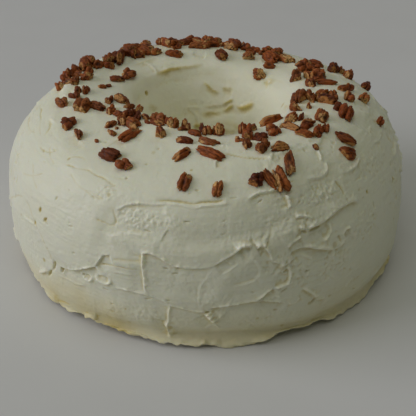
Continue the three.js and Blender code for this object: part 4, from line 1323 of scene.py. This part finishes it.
def pecan_material():
    shader = Shader("chopped_pecan", IOR=1.47, Specular_IOR_Level=0.22)
    light_skin = (0.54, 0.19, 0.046, 1)
    dark_skin = (0.085, 0.014, 0.003, 1)
    mottled_skin = (0.16, 0.033, 0.007, 1)
    red_skin = (0.42, 0.098, 0.017, 1)
    light_flesh = (0.92, 0.60, 0.24, 1)
    dark_flesh = (0.50, 0.20, 0.052, 1)
    mottled_flesh = (0.36, 0.13, 0.03, 1)
    brown_flesh = (0.48, 0.20, 0.045, 1)
    # painted shade: near-black for the furrows, cracks and hollows
    furrow = (0.028, 0.004, 0.0012, 1)
    tone = shader.attribute("tone")
    dark = shader.attribute("dark")
    mottle = shader.remap(shader.noise(1.6, 3), 0.3, 0.7)
    skin = shader.mix(dark, light_skin, dark_skin)
    skin = shader.mix(shader.maths("MULTIPLY", mottle, 0.6), skin, mottled_skin)
    skin = shader.mix(shader.maths("MULTIPLY", tone, 0.7), skin, red_skin)
    flesh = shader.mix(dark, light_flesh, dark_flesh)
    flesh = shader.mix(shader.maths("MULTIPLY", mottle, 0.6), flesh, mottled_flesh)
    flesh = shader.mix(shader.maths("MULTIPLY", tone, 0.35), flesh, brown_flesh)
    colour = shader.mix(shader.attribute("skin"), flesh, skin)
    colour = shader.mix(shader.maths("MULTIPLY", shader.attribute("furrow"), 0.92), colour, furrow)
    shader.wear("Base Color", colour)
    shader.wear("Roughness", shader.remap(mottle, 0, 1, 0.36, 0.62))
    shader.wear("Normal", shader.bump(shader.noise(0.7, 3), 0.18))
    return shader.material


def floor_material():
    shader = Shader("pale_floor", Roughness=1.0, Specular_IOR_Level=0.1)
    grey = (0.66, 0.66, 0.65, 1)
    pale_grey = (0.69, 0.69, 0.68, 1)
    shader.wear("Base Color", shader.mix(shader.noise(60, 2), grey, pale_grey))
    return shader.material


# ---- Floor, light and camera ------------------------------------------------------------------

FLOOR_REACH = 30000
FLOOR_GAP = 0.05  # the floor lies this far under the cake
LIGHT_TARGET = (0, 0, 60)
# Rectangular lights: (name, place, width and height, watts, colour).
LIGHTS = (
    ("window", (-6680, -560, 3120), (6000, 5200), 256, (1.0, 0.99, 1.1)),
    ("back", (870, 4860, 3030), (4800, 4200), 14.4, (1.0, 1.0, 1.15)),
    ("ceiling", (0, -600, 3760), (3600, 3600), 33.4, (1.0, 1.015, 0.91)),
)
ROOM_COLOUR = (0.98, 1.0, 0.80, 1)
ROOM_STRENGTH = 0.07
CAMERA_PLACE = (3.6, -525.2, 347.5)
CAMERA_TARGET = (1.8, -1.3, 17.5)
CAMERA_LENS = 77.9
CAMERA_SENSOR = 36
CAMERA_NEAREST = 0.01


def add_floor(material):
    corners = [(x * FLOOR_REACH, y * FLOOR_REACH, 0) for x, y in ((-1, -1), (1, -1), (1, 1), (-1, 1))]
    floor = new_piece("floor", corners, [(0, 1, 2, 3)], {}, material)
    floor.location.z = -FLOOR_GAP * MM


def aim(thing, place, target):
    """Puts a light or the camera at a place, looking at a target, both in millimetres."""
    thing.location = Vector(place) * MM
    thing.rotation_euler = (Vector(target) - Vector(place)).to_track_quat("-Z", "Y").to_euler()


def add_light(name, place, size, power, colour):
    light = bpy.data.lights.new(name, "AREA")
    light.shape = "RECTANGLE"
    light.size, light.size_y = size[0] * MM, size[1] * MM
    light.energy = power
    light.color = colour
    lamp = bpy.data.objects.new(name, light)
    bpy.context.collection.objects.link(lamp)
    aim(lamp, place, LIGHT_TARGET)


def add_room_light():
    world = bpy.data.worlds.new("soft_room")
    bpy.context.scene.world = world
    world.use_nodes = True
    background = world.node_tree.nodes["Background"]
    background.inputs["Color"].default_value = ROOM_COLOUR
    background.inputs["Strength"].default_value = ROOM_STRENGTH


def add_camera():
    camera = bpy.data.cameras.new("camera")
    camera.lens = CAMERA_LENS
    camera.sensor_width = CAMERA_SENSOR
    camera.clip_start = CAMERA_NEAREST
    holder = bpy.data.objects.new("camera", camera)
    bpy.context.collection.objects.link(holder)
    aim(holder, CAMERA_PLACE, CAMERA_TARGET)
    bpy.context.scene.camera = holder


bpy.context.scene.view_settings.view_transform = "Standard"
make_icing(icing_material())
make_nuts(pecan_material())
add_floor(floor_material())
for light in LIGHTS:
    add_light(*light)
add_room_light()
add_camera()
